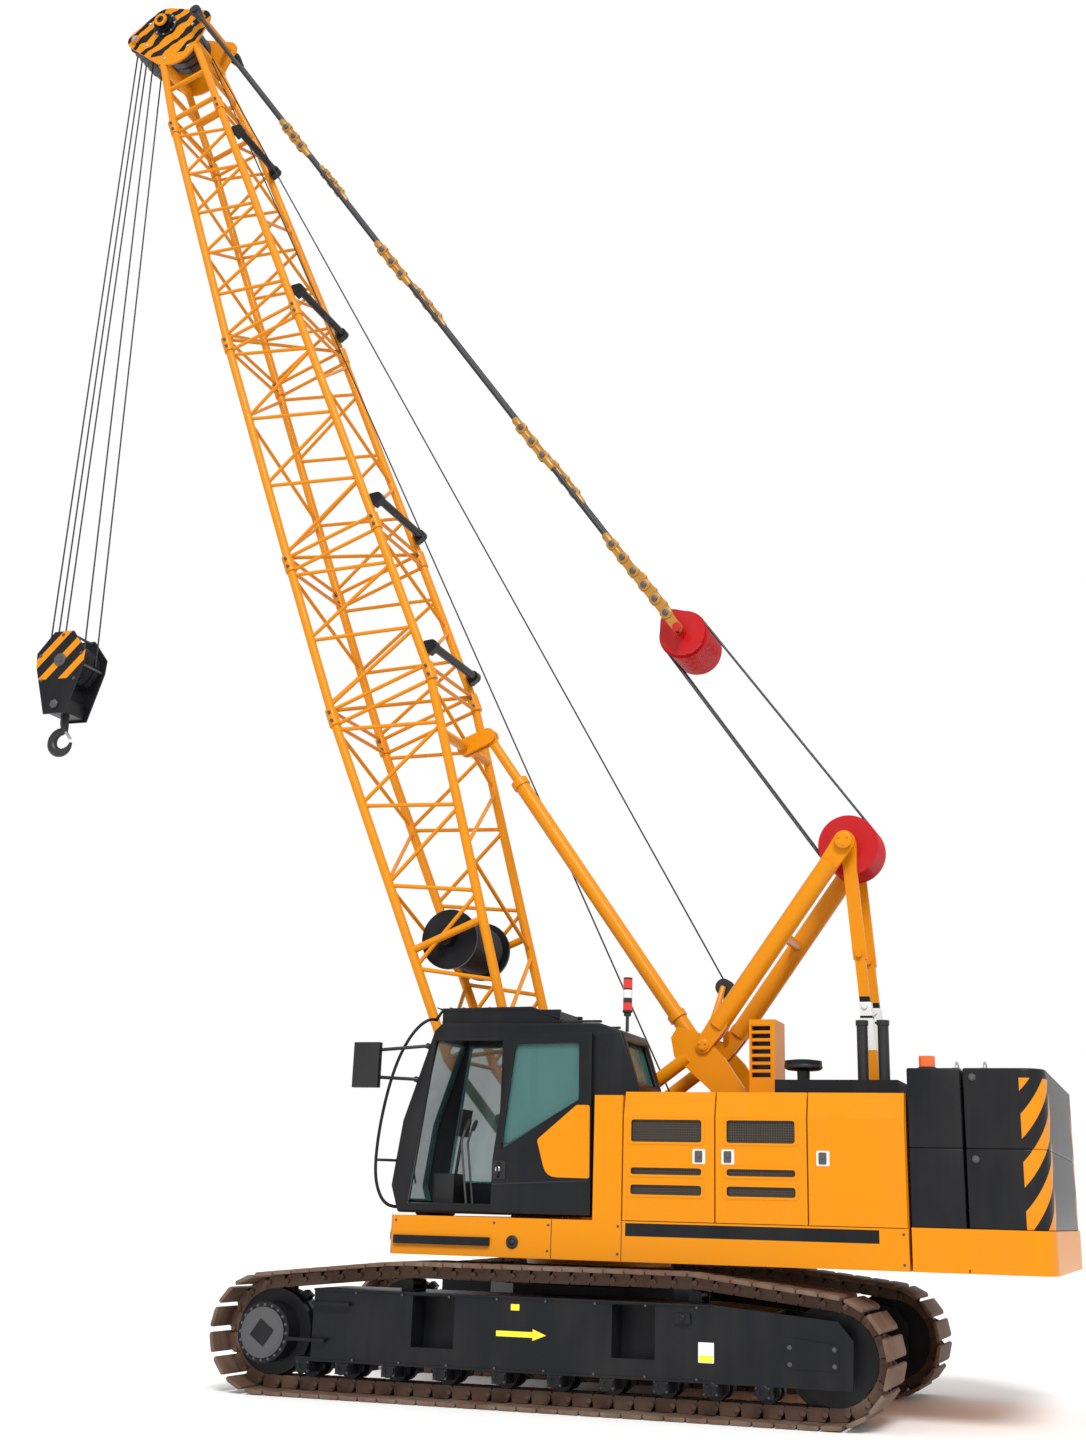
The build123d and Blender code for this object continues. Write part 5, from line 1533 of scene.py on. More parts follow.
@dataclass(frozen=True)
class CabOutside(Assembly):
    """What stands on the cab's outside: seal, wiper, grab rail, mirror glass, roof strips and guard.

    Attributes:
        wall_y: outer face of the side wall.
        window: corners of the side window before the door.
        seal: how far its seal reaches out and in, and radius of its corners outside and inside.
        rail: points that the grab rail follows, from the roof round the front corner to the foot.
        rail_bar: radius and facets of the rail.
        rail_stay: points of the stay that holds the rail half way.
        stay_bar: radius of the stay.
        wipers: radius, then points, of the wiper's arm and of its blade.
        mirror: from and to along X, Z and Y of the mirror's glass.
        strip: from and to along X, and low and high Z, of a rubber strip on the roof.
        strip_y: from and to along Y of each strip.
        slat: corners of a slat of the roof guard, with X from the slat's rear.
        slat_x: X of the first slat, pitch and number of the slats.
        slat_y: from and to along Y of the slats.
        guard: X and Z of the points of a guard bar.
        guard_y: Y of each bar.
        guard_bar: radius of a bar.
    """

    wall_y: float = 1.40
    window: tuple[Row, ...] = ((1.195, 1.470), (1.020, 2.745), (.430, 2.745), (.430, 1.470))
    seal: Sizes = (.016, -.012, .06, .05)
    rail: tuple[Point, ...] = (
        (1.055, 1.33, 2.922), (1.055, 1.40, 2.925), (1.085, 1.474, 2.915), (1.22, 1.476, 2.80),
        (1.35, 1.476, 2.55), (1.43, 1.476, 2.22), (1.468, 1.476, 1.95), (1.478, 1.476, 1.70),
        (1.44, 1.476, 1.55), (1.375, 1.465, 1.445), (1.335, 1.39, 1.43), (1.302, 1.34, 1.43))
    rail_bar: tuple[float, int] = (.013, 12)
    rail_stay: tuple[Point, ...] = ((1.325, 1.35, 1.79), (1.39, 1.44, 1.79), (1.475, 1.476, 1.79))
    stay_bar: float = .011
    wipers: tuple[tuple[float, tuple[Point, ...]], ...] = (
        (.008, ((1.335, .95, 1.62), (1.345, 1.0, 1.75), (1.262, 1.06, 2.33))),
        (.012, ((1.305, 1.055, 2.05), (1.205, 1.075, 2.42))))
    mirror: tuple[Row, Row, Row] = ((1.395, 1.575), (2.37, 2.68), (1.692, 1.699))
    strip: tuple[Row, Row] = ((-.40, 1.01), (2.896, 2.914))
    strip_y: tuple[Row, ...] = ((.76, .80), (1.28, 1.32))
    slat: tuple[Row, ...] = ((0, 2.985), (.085, 3.022), (.085, 3.030), (0, 2.993))
    slat_x: tuple[float, float, int] = (.15, .118, 8)
    slat_y: Row = (.765, 1.325)
    guard: tuple[Row, ...] = ((1.06, 2.922), (1.0, 3.004), (.207, 3.012), (-.039, 2.93))
    guard_y: Row = (.76, 1.33)
    guard_bar: float = .015

    def build(self) -> None:
        """Make them."""
        kit = self.kit(
            "upperworks", cab_window_seal=Look.BLACK_RUBBER, wiper=Look.BLACK_PLASTIC,
            cab_grab_rail=Look.PAINT_CHARCOAL, mirror_face=Look.MIRROR_GLASS,
            cab_roof_strips=Look.BLACK_RUBBER, cab_guard_slats=Look.BLACK_PLASTIC,
            cab_guard_bars=Look.PAINT_CHARCOAL)
        seal, wiper, rail, mirror, strips, slats, bars = kit
        seal.seal(self.window, self.seal, (self.wall_y - .004, self.wall_y + .004))
        rail.rod(self.rail_line(), *self.rail_bar)
        rail.rod(self.rail_stay, self.stay_bar)
        for radius, points in self.wipers:
            wiper.rod(points, radius)
        x, z, y = self.mirror
        mirror.prism(rounded(rectangle(x, z), .03), y, .002)
        x, z = self.strip
        for y in self.strip_y:
            strips.box(x, y, z)
        first, pitch, count = self.slat_x
        for i in range(count):
            rear = first + pitch * i
            slats.prism([(rear + x, z) for x, z in self.slat], self.slat_y)
        for y in self.guard_y:
            bars.rod([(x, y, z) for x, z in self.guard], self.guard_bar)
        kit.finish()

    def rail_line(self) -> list[Vector]:
        """Smooth line of the grab rail.

        Returns:
            Its points, from the roof down to the foot.
        """
        curve = bpy.data.curves.new("rail_line", "CURVE")
        curve.dimensions = "3D"
        spline = curve.splines.new("NURBS")
        spline.points.add(len(self.rail) - 1)
        for point, place in zip(spline.points, self.rail):
            point.co = (*place, 1)
        spline.order_u = 4
        spline.use_endpoint_u = True
        spline.resolution_u = 6
        line = bpy.data.objects.new("rail_line", curve)
        route = [Vector(v.co) for v in bpy.data.meshes.new_from_object(line).vertices]
        bpy.data.objects.remove(line)
        return route


@dataclass(frozen=True)
class CabInside(Assembly):
    """Seat, levers and monitor in the cab.

    Attributes:
        middle_y: Y of the seat's middle.
        pads: name, X and Z of the middle, half sizes, and lean about Y in degrees, of each pad.
        rows: rings of points over a pad from end to end.
        columns: points on each ring.
        power: squareness of a pad, from 0 for a block to 1 for an egg.
        crown: how much flatter a pad is at its seam than in its middle.
        seat_box: from and to along X, half width, and low and high Z, of the seat's foot.
        post: X and Z of the ends of a headrest's post.
        post_y: Y of the two posts from the middle.
        rest: from and to along X, Y from the middle, and Z, of an arm rest.
        lever_x: X of the levers in each arm rest.
        lever_y: Y of those levers from the middle.
        lever: how far forward, and Z, of a lever's ends.
        lever_grip: foot of a lever's grip, as for the lever, then its profile.
        stick_y: Y of the two travel levers from the middle.
        stick: X and Z of the points of a travel lever.
        stick_grip: X and Z of the foot of its grip, then the grip's profile.
        grip_leans: axes of the grips of a lever and of a travel lever.
        screen: corners of the monitor.
        screen_y: from and to along Y of the monitor.
        screen_post: ends of the monitor's post.
    """

    middle_y: float = 1.04
    pads: tuple[tuple[str, Row, Point, float], ...] = (
        ("seat_cushion", (.14, 1.80), (.27, .24, .075), 3.0),
        ("seat_back", (-.10, 2.16), (.06, .225, .30), -8.0),
        ("seat_headrest", (-.155, 2.56), (.045, .13, .085), -8.0))
    rows: int = 24
    columns: int = 48
    power: float = .32
    crown: float = .16
    seat_box: tuple[Row, float, Row] = ((-.08, .30), .16, (1.44, 1.73))
    post: tuple[Row, Row] = ((-.115, 2.40), (-.15, 2.56))
    post_y: float = .05
    rest: tuple[Row, Row, Row] = ((-.10, .30), (.25, .295), (1.962, 1.99))
    lever_x: Sizes = (.40, .45)
    lever_y: float = .27
    lever: tuple[Row, Row] = ((0, 1.955), (.02, 2.09))
    lever_grip: tuple[Row, Profile] = ((.02, 2.08), ((0, .014), (.03, .022), (.07, .02), (.085, .01)))
    stick_y: float = .07
    stick: tuple[Row, ...] = ((.80, 1.44), (.87, 1.95), (.83, 2.08))
    stick_grip: tuple[Row, Profile] = ((.83, 2.05), ((0, .016), (.05, .02), (.09, .014)))
    grip_leans: tuple[Point, Point] = ((.1, 0, 1), (-.4, 0, 1))
    screen: tuple[Row, ...] = ((.93, 2.0), (.96, 2.0), (.93, 2.22), (.90, 2.22))
    screen_y: Row = (.80, 1.02)
    screen_post: tuple[Point, Point] = ((.99, .91, 1.70), (.945, .91, 2.02))

    def build(self) -> None:
        """Make the padded seat in place of the CAD one, then what stands round it."""
        cushion, *_ = [self.build_pad(*row) for row in self.pads]
        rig.replaces(cushion, "cab_seat")
        kit = self.kit("upperworks", seat_frame=Look.BLACK_PLASTIC, levers=Look.HOUSE_STEEL,
                       lever_grips=Look.BLACK_RUBBER, monitor=Look.BLACK_PLASTIC)
        frame, levers, grips, screen = kit
        middle = self.middle_y
        x, half, z = self.seat_box
        frame.box(x, (middle - half, middle + half), z, .02)
        for y in (middle - self.post_y, middle + self.post_y):
            frame.rod([(x, y, z) for x, z in self.post], .008)
        for side in Side:
            rest_x, (near, far), rest_z = self.rest
            frame.box(rest_x, (middle + side.value * near, middle + side.value * far), rest_z, .01)
            self.build_levers(middle + side.value * self.lever_y, levers, grips)
        foot, profile = self.stick_grip
        for side in Side:
            y = middle + side.value * self.stick_y
            levers.rod([(x, y, z) for x, z in self.stick], .010)
            grips.turned(profile, (foot[0], y, foot[1]), self.grip_leans[1], 12)
        screen.prism(list(self.screen), self.screen_y, .006)
        screen.rod(self.screen_post, .014)
        kit.finish()

    def build_levers(self, y: float, levers: Shape, grips: Shape) -> None:
        """Add the levers of one arm rest, each with its grip.

        Args:
            y: their Y.
            levers: shape of the levers.
            grips: shape of the grips.
        """
        (ahead, z), profile = self.lever_grip
        for x in self.lever_x:
            levers.rod([(x + dx, y, end_z) for dx, end_z in self.lever], .008)
            grips.turned(profile, (x + ahead, y, z), self.grip_leans[0], 12)

    def build_pad(self, name: str, place: Row, half: Point, lean: float) -> bpy.types.Object:
        """Make a crowned cushion whose sides pull in towards its seam.

        Args:
            name: name of the piece.
            place: X and Z of its middle.
            half: half sizes along X, Y and Z.
            lean: lean about Y, in degrees.

        Returns:
            The piece.
        """
        middle = Vector((place[0], self.middle_y, place[1]))
        turn = Matrix.Rotation(math.radians(lean), 3, "Y")
        thin = half.index(min(half))
        rings = []
        for i in range(1, self.rows):
            latitude = -math.pi / 2 + math.pi * i / self.rows
            flat = self.squared(math.cos(latitude))
            ring = []
            for longitude in turns(self.columns):
                values = [flat * self.squared(math.cos(longitude)), flat * self.squared(math.sin(longitude)),
                          self.squared(math.sin(latitude))]
                spread = (values[(thin + 1) % 3] ** 2 + values[(thin + 2) % 3] ** 2) / 2
                values[thin] *= 1 - self.crown * spread
                ring.append(middle + turn @ Vector([v * h for v, h in zip(values, half)]))
            rings.append(ring)
        piece = Shape().skin(rings).finish(name, Look.SEAT_CLOTH, self.library, "upperworks")
        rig.padded(piece, fill=0.7)
        return piece

    def squared(self, value: float) -> float:
        """Push a sine or a cosine towards 1 or -1, which turns an egg into a pad."""
        return math.copysign(abs(value) ** self.power, value)


@dataclass(frozen=True)
class BoomDetails(Assembly):
    """Bolts, pins, rope wraps and head fittings on the boom, and the ropes that lead to it.

    Places are rows of the distance along the boom from its foot pin and the distance forward.

    Attributes:
        foot: the boom's foot pin.
        joints: distance of each section joint, with half depth and half width there.
        pin_shift: distance of a joint's two pins from the joint.
        pin: half length and radius of a pin.
        nut: from and to along the pin's axis, and radius, of its nut.
        drum: middle of the boom's drum.
        drum_radius: radius of its barrel.
        drum_width: width of the rope on it.
        wraps: turns of rope side by side.
        wrap: profile of one turn, as part of its width and height over the barrel.
        cheek_y: outer face of the head's cheeks.
        head_nuts: places of the large nuts.
        nut_y: face that they stand on.
        nut_profile: profile of a large nut.
        hub: middle of the head's hub.
        hub_rims: profile and facets of each ring of the hub.
        hub_circle: radius, number and foot of the hub's bolts.
        head_bolts: places of the cheeks' bolts.
        lead_head: where the lead ropes reach the head.
        lead_feet: foot of each lead rope, with the Y of its end.
        lead_bar: radius, steps and facets of a lead rope.
        lead_bend: part of a lead rope over which it passes from the upperworks to the boom.
    """

    foot: Point = (.346, 0, 1.624)
    joints: tuple[Point, ...] = (
        (4.790, .533, .5785), (6.550, .4965, .5785), (9.345, .422, .5785), (12.560, .300, .465))
    pin_shift: float = .045
    pin: Row = (.075, .016)
    nut: Point = (-.082, -.070, .024)
    drum: Row = (2.341, .150)
    drum_radius: float = .205
    drum_width: float = .74
    wraps: int = 26
    wrap: Profile = ((.0, .0), (.25, .011), (.5, .015), (.75, .011))
    cheek_y: float = .330
    head_nuts: tuple[Row, ...] = ((14.250, .470), (14.030, -.400))
    nut_y: float = .352
    nut_profile: Profile = ((0, .04), (.008, .04), (.008, .028), (.03, .028), (.034, .022))
    hub: Row = (14.230, .060)
    hub_rims: tuple[tuple[Profile, int], ...] = (
        (((0, .155), (.01, .155), (.014, .148), (.014, .125)), 40),
        (((.118, .045), (.124, .043), (.124, .02), (.118, .018)), 24))
    hub_circle: tuple[float, int, float] = (.138, 8, .014)
    head_bolts: tuple[Row, ...] = ((13.75, -.12), (13.75, .20), (14.08, .36), (14.36, .24), (14.02, -.27))
    lead_head: Row = (14.16, -.21)
    lead_feet: tuple[tuple[Point, float], ...] = (((-1.118, .012, 3.372), .012), ((-.62, -.012, 2.42), -.012))
    lead_bar: tuple[float, int, int] = (.0085, 40, 6)
    lead_bend: float = .35

    def at(self, along: float, forward: float, y: float = 0.0) -> Vector:
        """Point by its distance along the boom, forward of its middle line and across."""
        return Vector(self.foot) + Vector(ALONG) * along + Vector(OUTWARD) * forward + Vector((0, y, 0))

    def build(self) -> None:
        """Make them."""
        kit = self.kit("boom", section_pins=Look.HOUSE_STEEL, drum_rope=Look.ROPE_STEEL,
                       head_nuts=Look.BRIGHT_STEEL, head_hubs=Look.BLACK_PLASTIC)
        pins, wraps, nuts, hubs = kit
        length, radius = self.pin
        nut_start, nut_end, nut_radius = self.nut
        for along, deep, wide in self.joints:
            places = [self.at(along + shift, way * deep, side.value * wide)
                      for side in Side for way in (1, -1) for shift in (-self.pin_shift, self.pin_shift)]
            for place in places:
                pins.turned([(-length, radius), (length, radius)], place, (0, 1, 0), 10)
                pins.turned([(nut_start, nut_radius), (nut_end, nut_radius)], place, (0, 1, 0), 6)
        pitch = self.drum_width / self.wraps
        starts = [-self.drum_width / 2 + self.drum_width * i / self.wraps for i in range(self.wraps)]
        wraps.turned([(start + part * pitch, self.drum_radius + .001 + height)
                      for start in starts for part, height in self.wrap], self.at(*self.drum), (0, 1, 0), 40)
        for side in Side:
            self.build_head(side, nuts, hubs)
        kit.finish()
        self.build_lead_ropes()

    def build_head(self, side: Side, nuts: Shape, hubs: Shape) -> None:
        """Add the nuts, the hub and the bolts to one cheek of the head.

        Args:
            side: side of the cheek.
            nuts: shape of the nuts and bolts.
            hubs: shape of the hubs.
        """
        for along, forward in self.head_nuts:
            nuts.turned(self.nut_profile, self.at(along, forward, side.value * self.nut_y), side.axis, 6)
        middle = self.at(*self.hub, side.value * self.cheek_y)
        for profile, sides in self.hub_rims:
            hubs.turned(profile, middle, side.axis, sides)
        radius, count, foot = self.hub_circle
        nuts.bolts([middle + Vector((math.cos(t), 0, math.sin(t))) * radius + side.axis * foot
                    for t in turns(count)], side.axis, .011, .010)
        nuts.bolts([self.at(along, forward, side.value * self.cheek_y) for along, forward in self.head_bolts],
                   side.axis, .014)

    def build_lead_ropes(self) -> None:
        """Make the two ropes from the upperworks to the head, which lean with the boom."""
        kit = self.kit(None, lead_ropes=Look.SLOPED_ROPE)
        ropes, = kit
        head = self.at(*self.lead_head)
        radius, steps, sides = self.lead_bar
        for foot, y in self.lead_feet:
            ropes.rod(straight(Vector(foot), head + Vector((0, y, 0)), steps), radius, sides)
        piece, = kit.finish()
        foot = Vector(self.lead_feet[0][0])
        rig.blend(piece, "upperworks", "boom", start=tuple(foot), end=tuple(foot.lerp(head, self.lead_bend)))


@dataclass(frozen=True)
class Suspension(Assembly):
    """Pins and knuckles of the pendants, and the fittings of the gantry and its rope guide.

    Attributes:
        offset: Y of the pendants.
        groups: link groups past the bridle's axle, from and to.
        link: pitch of the links in a group.
        pin: half profile of a link pin.
        knuckle: half profile of a knuckle.
        socket: profile of a rope socket.
        socket_gap: distance from a group to its sockets.
        caps: X, Z, radius and face of the gantry's pin caps.
        cap_high: how far a cap stands out.
        cap_circle: radius of the circle of its bolts, as part of its own.
        cap_bolts: angles of the bolts.
        guide: X, Y and Z of the points of an arm of the rope guide.
        guide_bar: radius and facets of an arm.
        roller_at: middle of the guide's roller.
        roller: half profile of the roller.
    """

    offset: float = .48
    groups: tuple[Row, ...] = ((0.0, 1.1), (2.35, 2.76), (5.20, 5.61), (7.48, 7.83))
    link: float = .2
    pin: Profile = ((.052, .020), (.046, .030), (.034, .030), (.034, .022))
    knuckle: Profile = ((.030, .050), (.027, .058), (.019, .058), (.019, .040))
    socket: Profile = ((-.11, .026), (-.09, .034), (.05, .040), (.07, .030))
    socket_gap: float = .07
    caps: tuple[tuple[Row, float, float], ...] = ((PEAK, .075, .441), ((-1.03, 2.79), .05, .437))
    cap_high: float = .018
    cap_circle: float = .6
    cap_bolts: Sizes = (0.5, 2.6, 4.7)
    guide: tuple[Point, ...] = ((-1.03, .38, 2.80), (-1.09, .12, 3.18), (-1.118, .07, 3.32))
    guide_bar: tuple[float, int] = (.026, 10)
    roller_at: Point = (-1.118, 0, 3.32)
    roller: Profile = ((.075, .03), (.06, .03), (.06, .075), (.05, .075), (.02, .052))

    def build(self) -> None:
        """Make them on both sides."""
        pendants = self.kit("luffing_pendants", pendant_knuckles=Look.PENDANT_LINK,
                            pendant_pins=Look.HOUSE_STEEL)
        gantry = self.kit("upperworks", gantry_pin_caps=Look.PAINT_YELLOW, rope_guide_arms=Look.PAINT_YELLOW,
                          rope_guide_roller=Look.HOOK_STEEL)
        caps, arms, roller = gantry
        for side in Side:
            self.build_links(side, *pendants)
            for (x, z), radius, face in self.caps:
                high, circle = self.cap_high, radius * self.cap_circle
                caps.turned([(0, radius), (.012, radius), (high, radius * .8), (high, radius * .4)],
                            side.point(x, face, z), side.axis, 24)
                caps.bolts([side.point(x + circle * math.cos(t), face + high, z + circle * math.sin(t))
                            for t in self.cap_bolts], side.axis, .010, .008)
            arms.rod([side.point(*place) for place in self.guide], *self.guide_bar)
        roller.turned(spool(self.roller), self.roller_at, (0, 1, 0), 24)
        pendants.finish()
        gantry.finish()

    def build_links(self, side: Side, knuckles: Shape, pins: Shape) -> None:
        """Add the link groups of one pendant, with a socket at each end of a group.

        Args:
            side: side of the pendant.
            knuckles: shape of the knuckles and sockets.
            pins: shape of the pins.
        """
        for start, end in self.groups:
            count = max(1, round((end - start) / self.link))
            reaches = [start + (end - start) / count * i for i in range(count + 1)]
            for reach in reaches:
                if reach > 0:      # the axle of the bridle holds the first link
                    place = self.at(reach, side)
                    pins.turned(spool(self.pin), place, (0, 1, 0), 12)
                    knuckles.turned(spool(self.knuckle), place, (0, 1, 0), 20)
            for reach in (start - self.socket_gap, end + self.socket_gap):
                if reach > 0:
                    knuckles.turned(self.socket, self.at(reach, side), SLOPE, 14)

    def at(self, reach: float, side: Side) -> Vector:
        """Point on a pendant, this far past the bridle's axle."""
        reach += BRIDLE
        return side.point(PEAK[0] + reach * SLOPE[0], self.offset, PEAK[1] + reach * SLOPE[2])


@dataclass(frozen=True)
class LoadHook(Assembly):
    """The forged hook, its latch, and the covers of the hook block.

    Attributes:
        eye_z: height of the middle of the hook's opening.
        steps: steps along the bowl, of which the first two lie in the neck.
        turn: angle at which the bowl starts and angle that it covers, in degrees.
        reach: radius of the bowl's middle line, and how much it grows half way.
        thick: radius of the bar at its ends, and how much it grows between them.
        tip: how much thinner the bar gets at its very tip.
        neck: X and Z from the opening's middle, and radius, of the bar over the bowl.
        flat: width of the bar as part of its depth.
        facets: points round the bar.
        latch: corners of the latch, from the opening's middle.
        cap: profile of a cap on the block.
        foot_cap: profile of the cap under it.
        foot_drop: how far that one lies below the sheaves.
        cheek_y: outer face of the block's cheeks.
        cheek_bolts: X and Z of the cheeks' bolts, from the sheaves' axis.
        spacers: X and Z of the spacers, from the sheaves' axis.
        spacer: half length and radius of a spacer.
    """

    eye_z: float = 5.98
    steps: int = 32
    turn: Row = (118, 292)
    reach: Row = (.112, .006)
    thick: Row = (.030, .024)
    tip: float = .012
    neck: tuple[Point, ...] = ((0, .33, .047), (0, .22, .047), (-.012, .165, .046))
    flat: float = .86
    facets: int = 16
    latch: tuple[Row, ...] = ((-.03, .14), (.01, .15), (-.09, .02), (-.115, .03))
    cap: Profile = ((0, .07), (.01, .07), (.014, .062), (.014, .03), (.02, .028))
    foot_cap: Profile = ((0, .05), (.02, .05), (.026, .04))
    foot_drop: float = .49
    cheek_y: float = .212
    cheek_bolts: tuple[Row, ...] = ((.0, .28), (-.25, .06), (.25, .06), (-.2, -.22), (.2, -.22))
    spacers: tuple[Row, ...] = ((.09, .29), (-.09, .29), (.24, -.05), (-.25, -.05))
    spacer: Row = (.189, .014)

    def build(self) -> None:
        """Make them, the hook in place of the CAD one."""
        hook_kit = self.kit("load_hook", forged_hook=Look.HOOK_STEEL, hook_latch=Look.BRIGHT_STEEL)
        block_kit = self.kit("load_block", block_caps=Look.HOUSE_STEEL, block_spacers=Look.HOUSE_STEEL)
        hook, latch = hook_kit
        caps, spacers = block_kit
        x = LOBE[0]
        hook.skin(self.bar())
        latch.prism([(x + dx, self.eye_z + dz) for dx, dz in self.latch], (-.02, .02), .004)
        for side in Side:
            caps.turned(self.cap, side.point(x, self.cheek_y, BLOCK_Z), side.axis, 32)
            caps.bolts([side.point(x + dx, self.cheek_y, BLOCK_Z + dz) for dx, dz in self.cheek_bolts],
                       side.axis, .014)
            caps.turned(self.foot_cap, side.point(x, self.cheek_y, BLOCK_Z - self.foot_drop), side.axis, 6)
        length, radius = self.spacer
        for dx, dz in self.spacers:
            spacers.turned([(-length, radius), (length, radius)], (x + dx, 0, BLOCK_Z + dz), (0, 1, 0), 12)
        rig.replaces(hook_kit.finish()[0], "hook")
        block_kit.finish()

    def bar(self) -> list[list[Vector]]:
        """Rings round the hook's bar, whose thickness changes from the neck to the tip.

        Returns:
            The rings.
        """
        eye = Vector((LOBE[0], 0, self.eye_z))
        line = [(eye + Vector((dx, 0, dz)), radius) for dx, dz, radius in self.neck]
        for i in range(len(self.neck) - 1, self.steps + 1):
            part = i / self.steps
            swell = math.sin(math.pi * part)
            angle = math.radians(self.turn[0] - self.turn[1] * part)
            reach = self.reach[0] + self.reach[1] * swell
            radius = (self.thick[0] + self.thick[1] * math.sin(math.pi * min(1.0, part * 1.06)) ** .8
                      - self.tip * part ** 6)
            line.append((eye + Vector((math.cos(angle), 0, math.sin(angle))) * reach, radius))
        rings = []
        for i, (point, radius) in enumerate(line):
            run = (line[min(i + 1, len(line) - 1)][0] - line[max(i - 1, 0)][0]).normalized()
            other = run.cross(Vector((0, 1, 0))).normalized()
            rings.append([point + (other * math.cos(t) + Vector((0, self.flat, 0)) * math.sin(t)) * radius
                          for t in turns(self.facets)])
        return rings


@dataclass(frozen=True)
class RoundedPanel(Assembly):
    """Copy of a flat CAD panel with round edges, which stands for it.

    Attributes:
        node: the CAD node.
        look: its finish.
        width: width of the rounding.
        segments: segments of the rounding.
        sharp: edges sharper than this are rounded.
    """

    frame: dict
    node: str
    look: Look
    width: float
    segments: int = 3
    sharp: float = math.radians(30)

    def build(self) -> None:
        """Make the copy."""
        shape = Shape()
        mesh = shape.mesh
        mesh.from_mesh(self.frame["nodes"][self.node].data)
        bmesh.ops.remove_doubles(mesh, verts=mesh.verts, dist=0.0002)
        bmesh.ops.dissolve_limit(mesh, angle_limit=math.radians(0.5), verts=mesh.verts, edges=mesh.edges)
        edges = [edge for edge in mesh.edges if len(edge.link_faces) == 2
                 and edge.calc_face_angle(0.0) > self.sharp and edge.is_convex]
        bmesh.ops.bevel(mesh, geom=edges, offset=self.width, segments=self.segments, profile=0.5,
                        affect="EDGES", clamp_overlap=True)
        bodies = self.frame["record"]["behaviour"]["bodies"]
        body = next(name for name, nodes in bodies.items() if self.node in nodes)
        piece = shape.finish(f"{self.node}_rounded", self.look, self.library, body)
        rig.replaces(piece, self.node)


@dataclass(frozen=True)
class Viewpoint:
    """Camera of the reference view.

    Attributes:
        position: where it stands.
        yaw: turn about the upright axis, in radians.
        pitch: tilt upwards, in radians.
        roll: turn about its own axis, in radians.
        lens: focal length over a sensor of 36 mm.
        shift: shift of the picture along its width and its height.
    """

    position: Point = (-4.9353, 15.286, 1.428)
    yaw: float = 0.3317
    pitch: float = 0.346
    roll: float = 0.0268
    lens: float = 43.38
    shift: Row = (-0.0262, -0.0976)

    def build(self) -> None:
        """Make the camera that the scene renders from."""
        upright = Vector((0, 0, 1))
        level = Vector((math.sin(self.yaw), -math.cos(self.yaw), 0))
        look = (level * math.cos(self.pitch) + upright * math.sin(self.pitch)).normalized()
        right = look.cross(upright).normalized()
        up = right.cross(look)
        across = right * math.cos(self.roll) + up * math.sin(self.roll)
        top = up * math.cos(self.roll) - right * math.sin(self.roll)
        data = bpy.data.cameras.new("Camera")
        data.sensor_width = 36.0
        data.lens = self.lens
        data.shift_x, data.shift_y = self.shift
        data.clip_end = 200.0
        camera = in_scene("Camera", data)
        turn = Matrix((across, top, -look)).transposed().to_4x4()
        camera.matrix_world = Matrix.Translation(self.position) @ turn
        bpy.context.scene.camera = camera


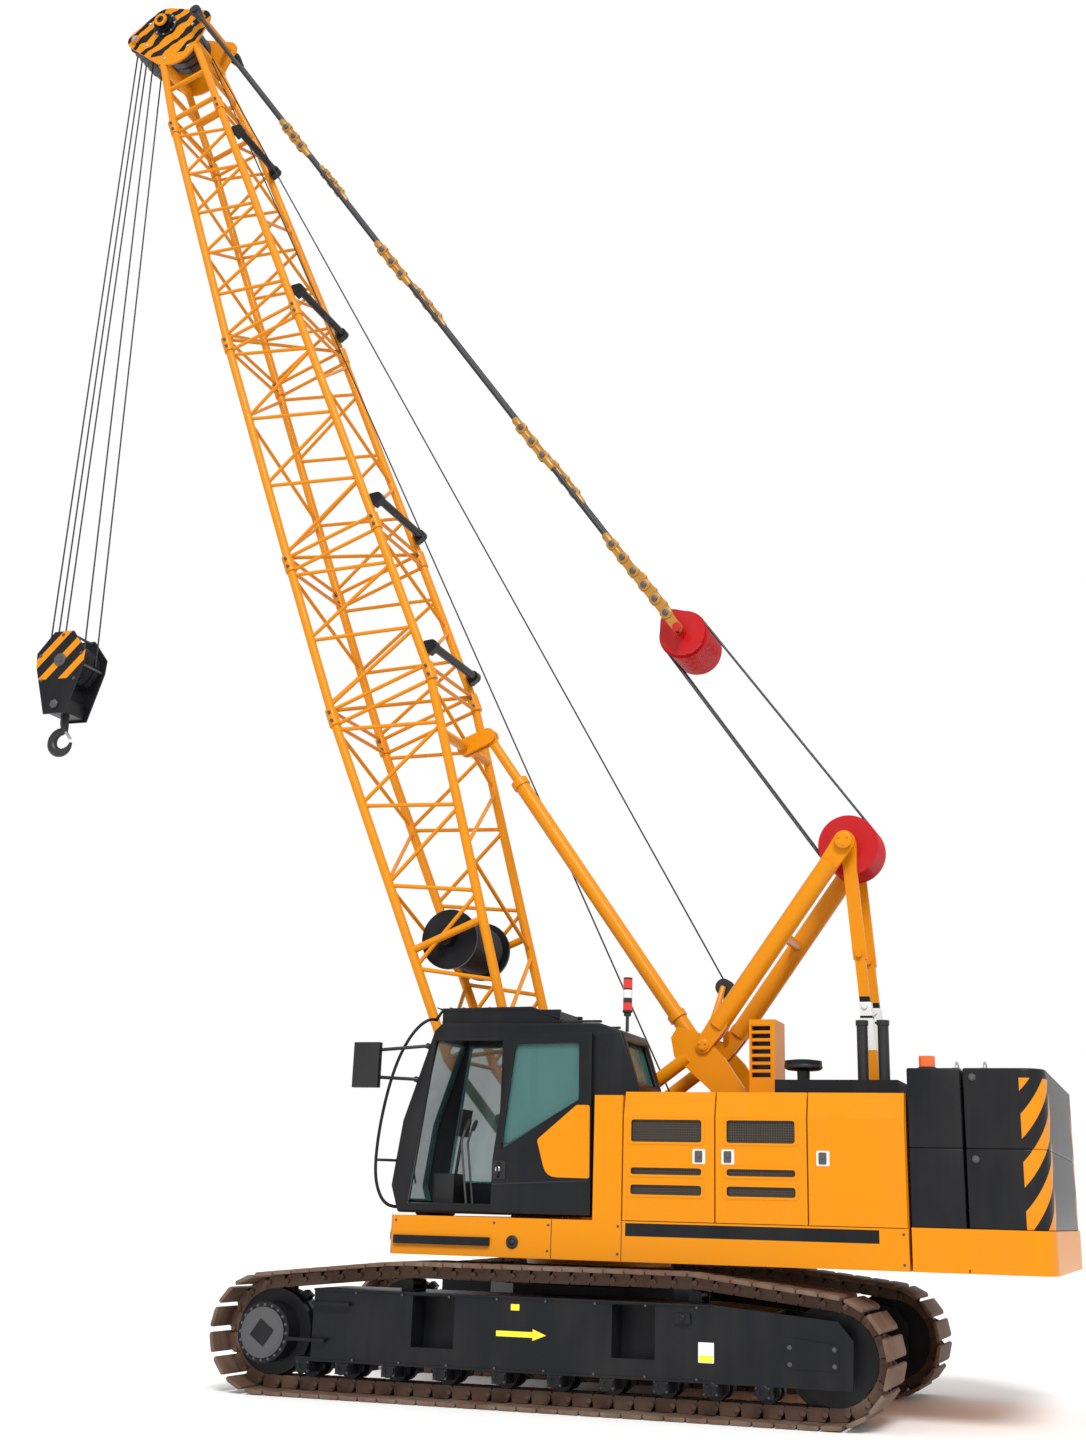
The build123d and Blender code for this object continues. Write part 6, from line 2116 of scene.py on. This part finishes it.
@dataclass(frozen=True)
class Studio:
    """Floor and light round the crane.

    Attributes:
        floor_half: half width of the floor.
        floor_drop: how far the floor lies below the tracks.
        sun_energy: strength of the sun.
        sun_angle: angle that the sun fills, in radians, which softens its shadows.
        sun_turn: turn of the sun about X and Y, in degrees.
        sky: strength of the sky's light; the camera sees it at full white.
    """

    floor_half: float = 60.0
    floor_drop: float = 0.002
    sun_energy: float = 2.5
    sun_angle: float = 0.35
    sun_turn: Row = (-42, -22)
    sky: float = 0.80

    def build(self) -> None:
        """Make the floor, the sky and the sun."""
        self.build_floor()
        world = bpy.data.worlds.new("sky")
        world.use_nodes = True
        tree = world.node_tree
        ray = add(tree, "LightPath", {}).outputs["Is Camera Ray"]
        feed(tree, tree.nodes["Background"], {
            "Color": (1, 1, 1, 1), "Strength": maths(tree, "MULTIPLY_ADD", ray, 1 - self.sky, self.sky)})
        bpy.context.scene.world = world
        light = bpy.data.lights.new("sun", "SUN")
        light.energy = self.sun_energy
        light.angle = self.sun_angle
        in_scene("sun", light).rotation_euler = (*(math.radians(a) for a in self.sun_turn), 0)

    def build_floor(self) -> None:
        """Make the pale floor."""
        mesh = bpy.data.meshes.new("floor")
        h = self.floor_half
        mesh.from_pydata([(-h, -h, 0), (h, -h, 0), (h, h, 0), (-h, h, 0)], [], [(0, 1, 2, 3)])
        floor = in_scene("floor", mesh)
        floor.location.z = -self.floor_drop
        material = bpy.data.materials.new("floor")
        material.use_nodes = True
        feed(material.node_tree, material.node_tree.nodes["Principled BSDF"],
             {"Base Color": Paint.FLOOR.rgba, "Roughness": 0.9})
        mesh.materials.append(material)
        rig.stage(floor)


def paint_frame(frame: dict, library: Library) -> None:
    """Give every CAD node the look of its slot, or its own one.

    Args:
        library: the scene's materials.
    """
    for entry in frame["record"]["subparts"]:
        node = frame["nodes"][entry["node"]]
        node.data.materials.clear()
        look = NODE_LOOKS.get(entry["node"], Look[entry["material_slot"].upper()])
        node.data.materials.append(library[look])


def main() -> None:
    """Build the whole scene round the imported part."""
    logging.basicConfig(level=logging.INFO, format="%(message)s")
    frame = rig.load()
    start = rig.bounds()
    library = Library()
    paint_frame(frame, library)
    for node, look, width in ROUNDED_PANELS:
        RoundedPanel(library, frame, node, look, width).build()
    for assembly in (Undercarriage, Tracks, Ropes, HouseDoors, DeckDetails, RoofDetails, CabDoor,
                     CabOutside, CabInside, BoomDetails, Suspension, LoadHook):
        assembly(library).build()
    Viewpoint().build()
    Studio().build()
    bpy.context.scene.view_settings.view_transform = "Standard"
    with open("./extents.json", "w") as f:
        json.dump({"frame": [list(v) for v in start], "shown": [list(v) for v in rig.bounds()]}, f)


if __name__ == "__main__":
    main()
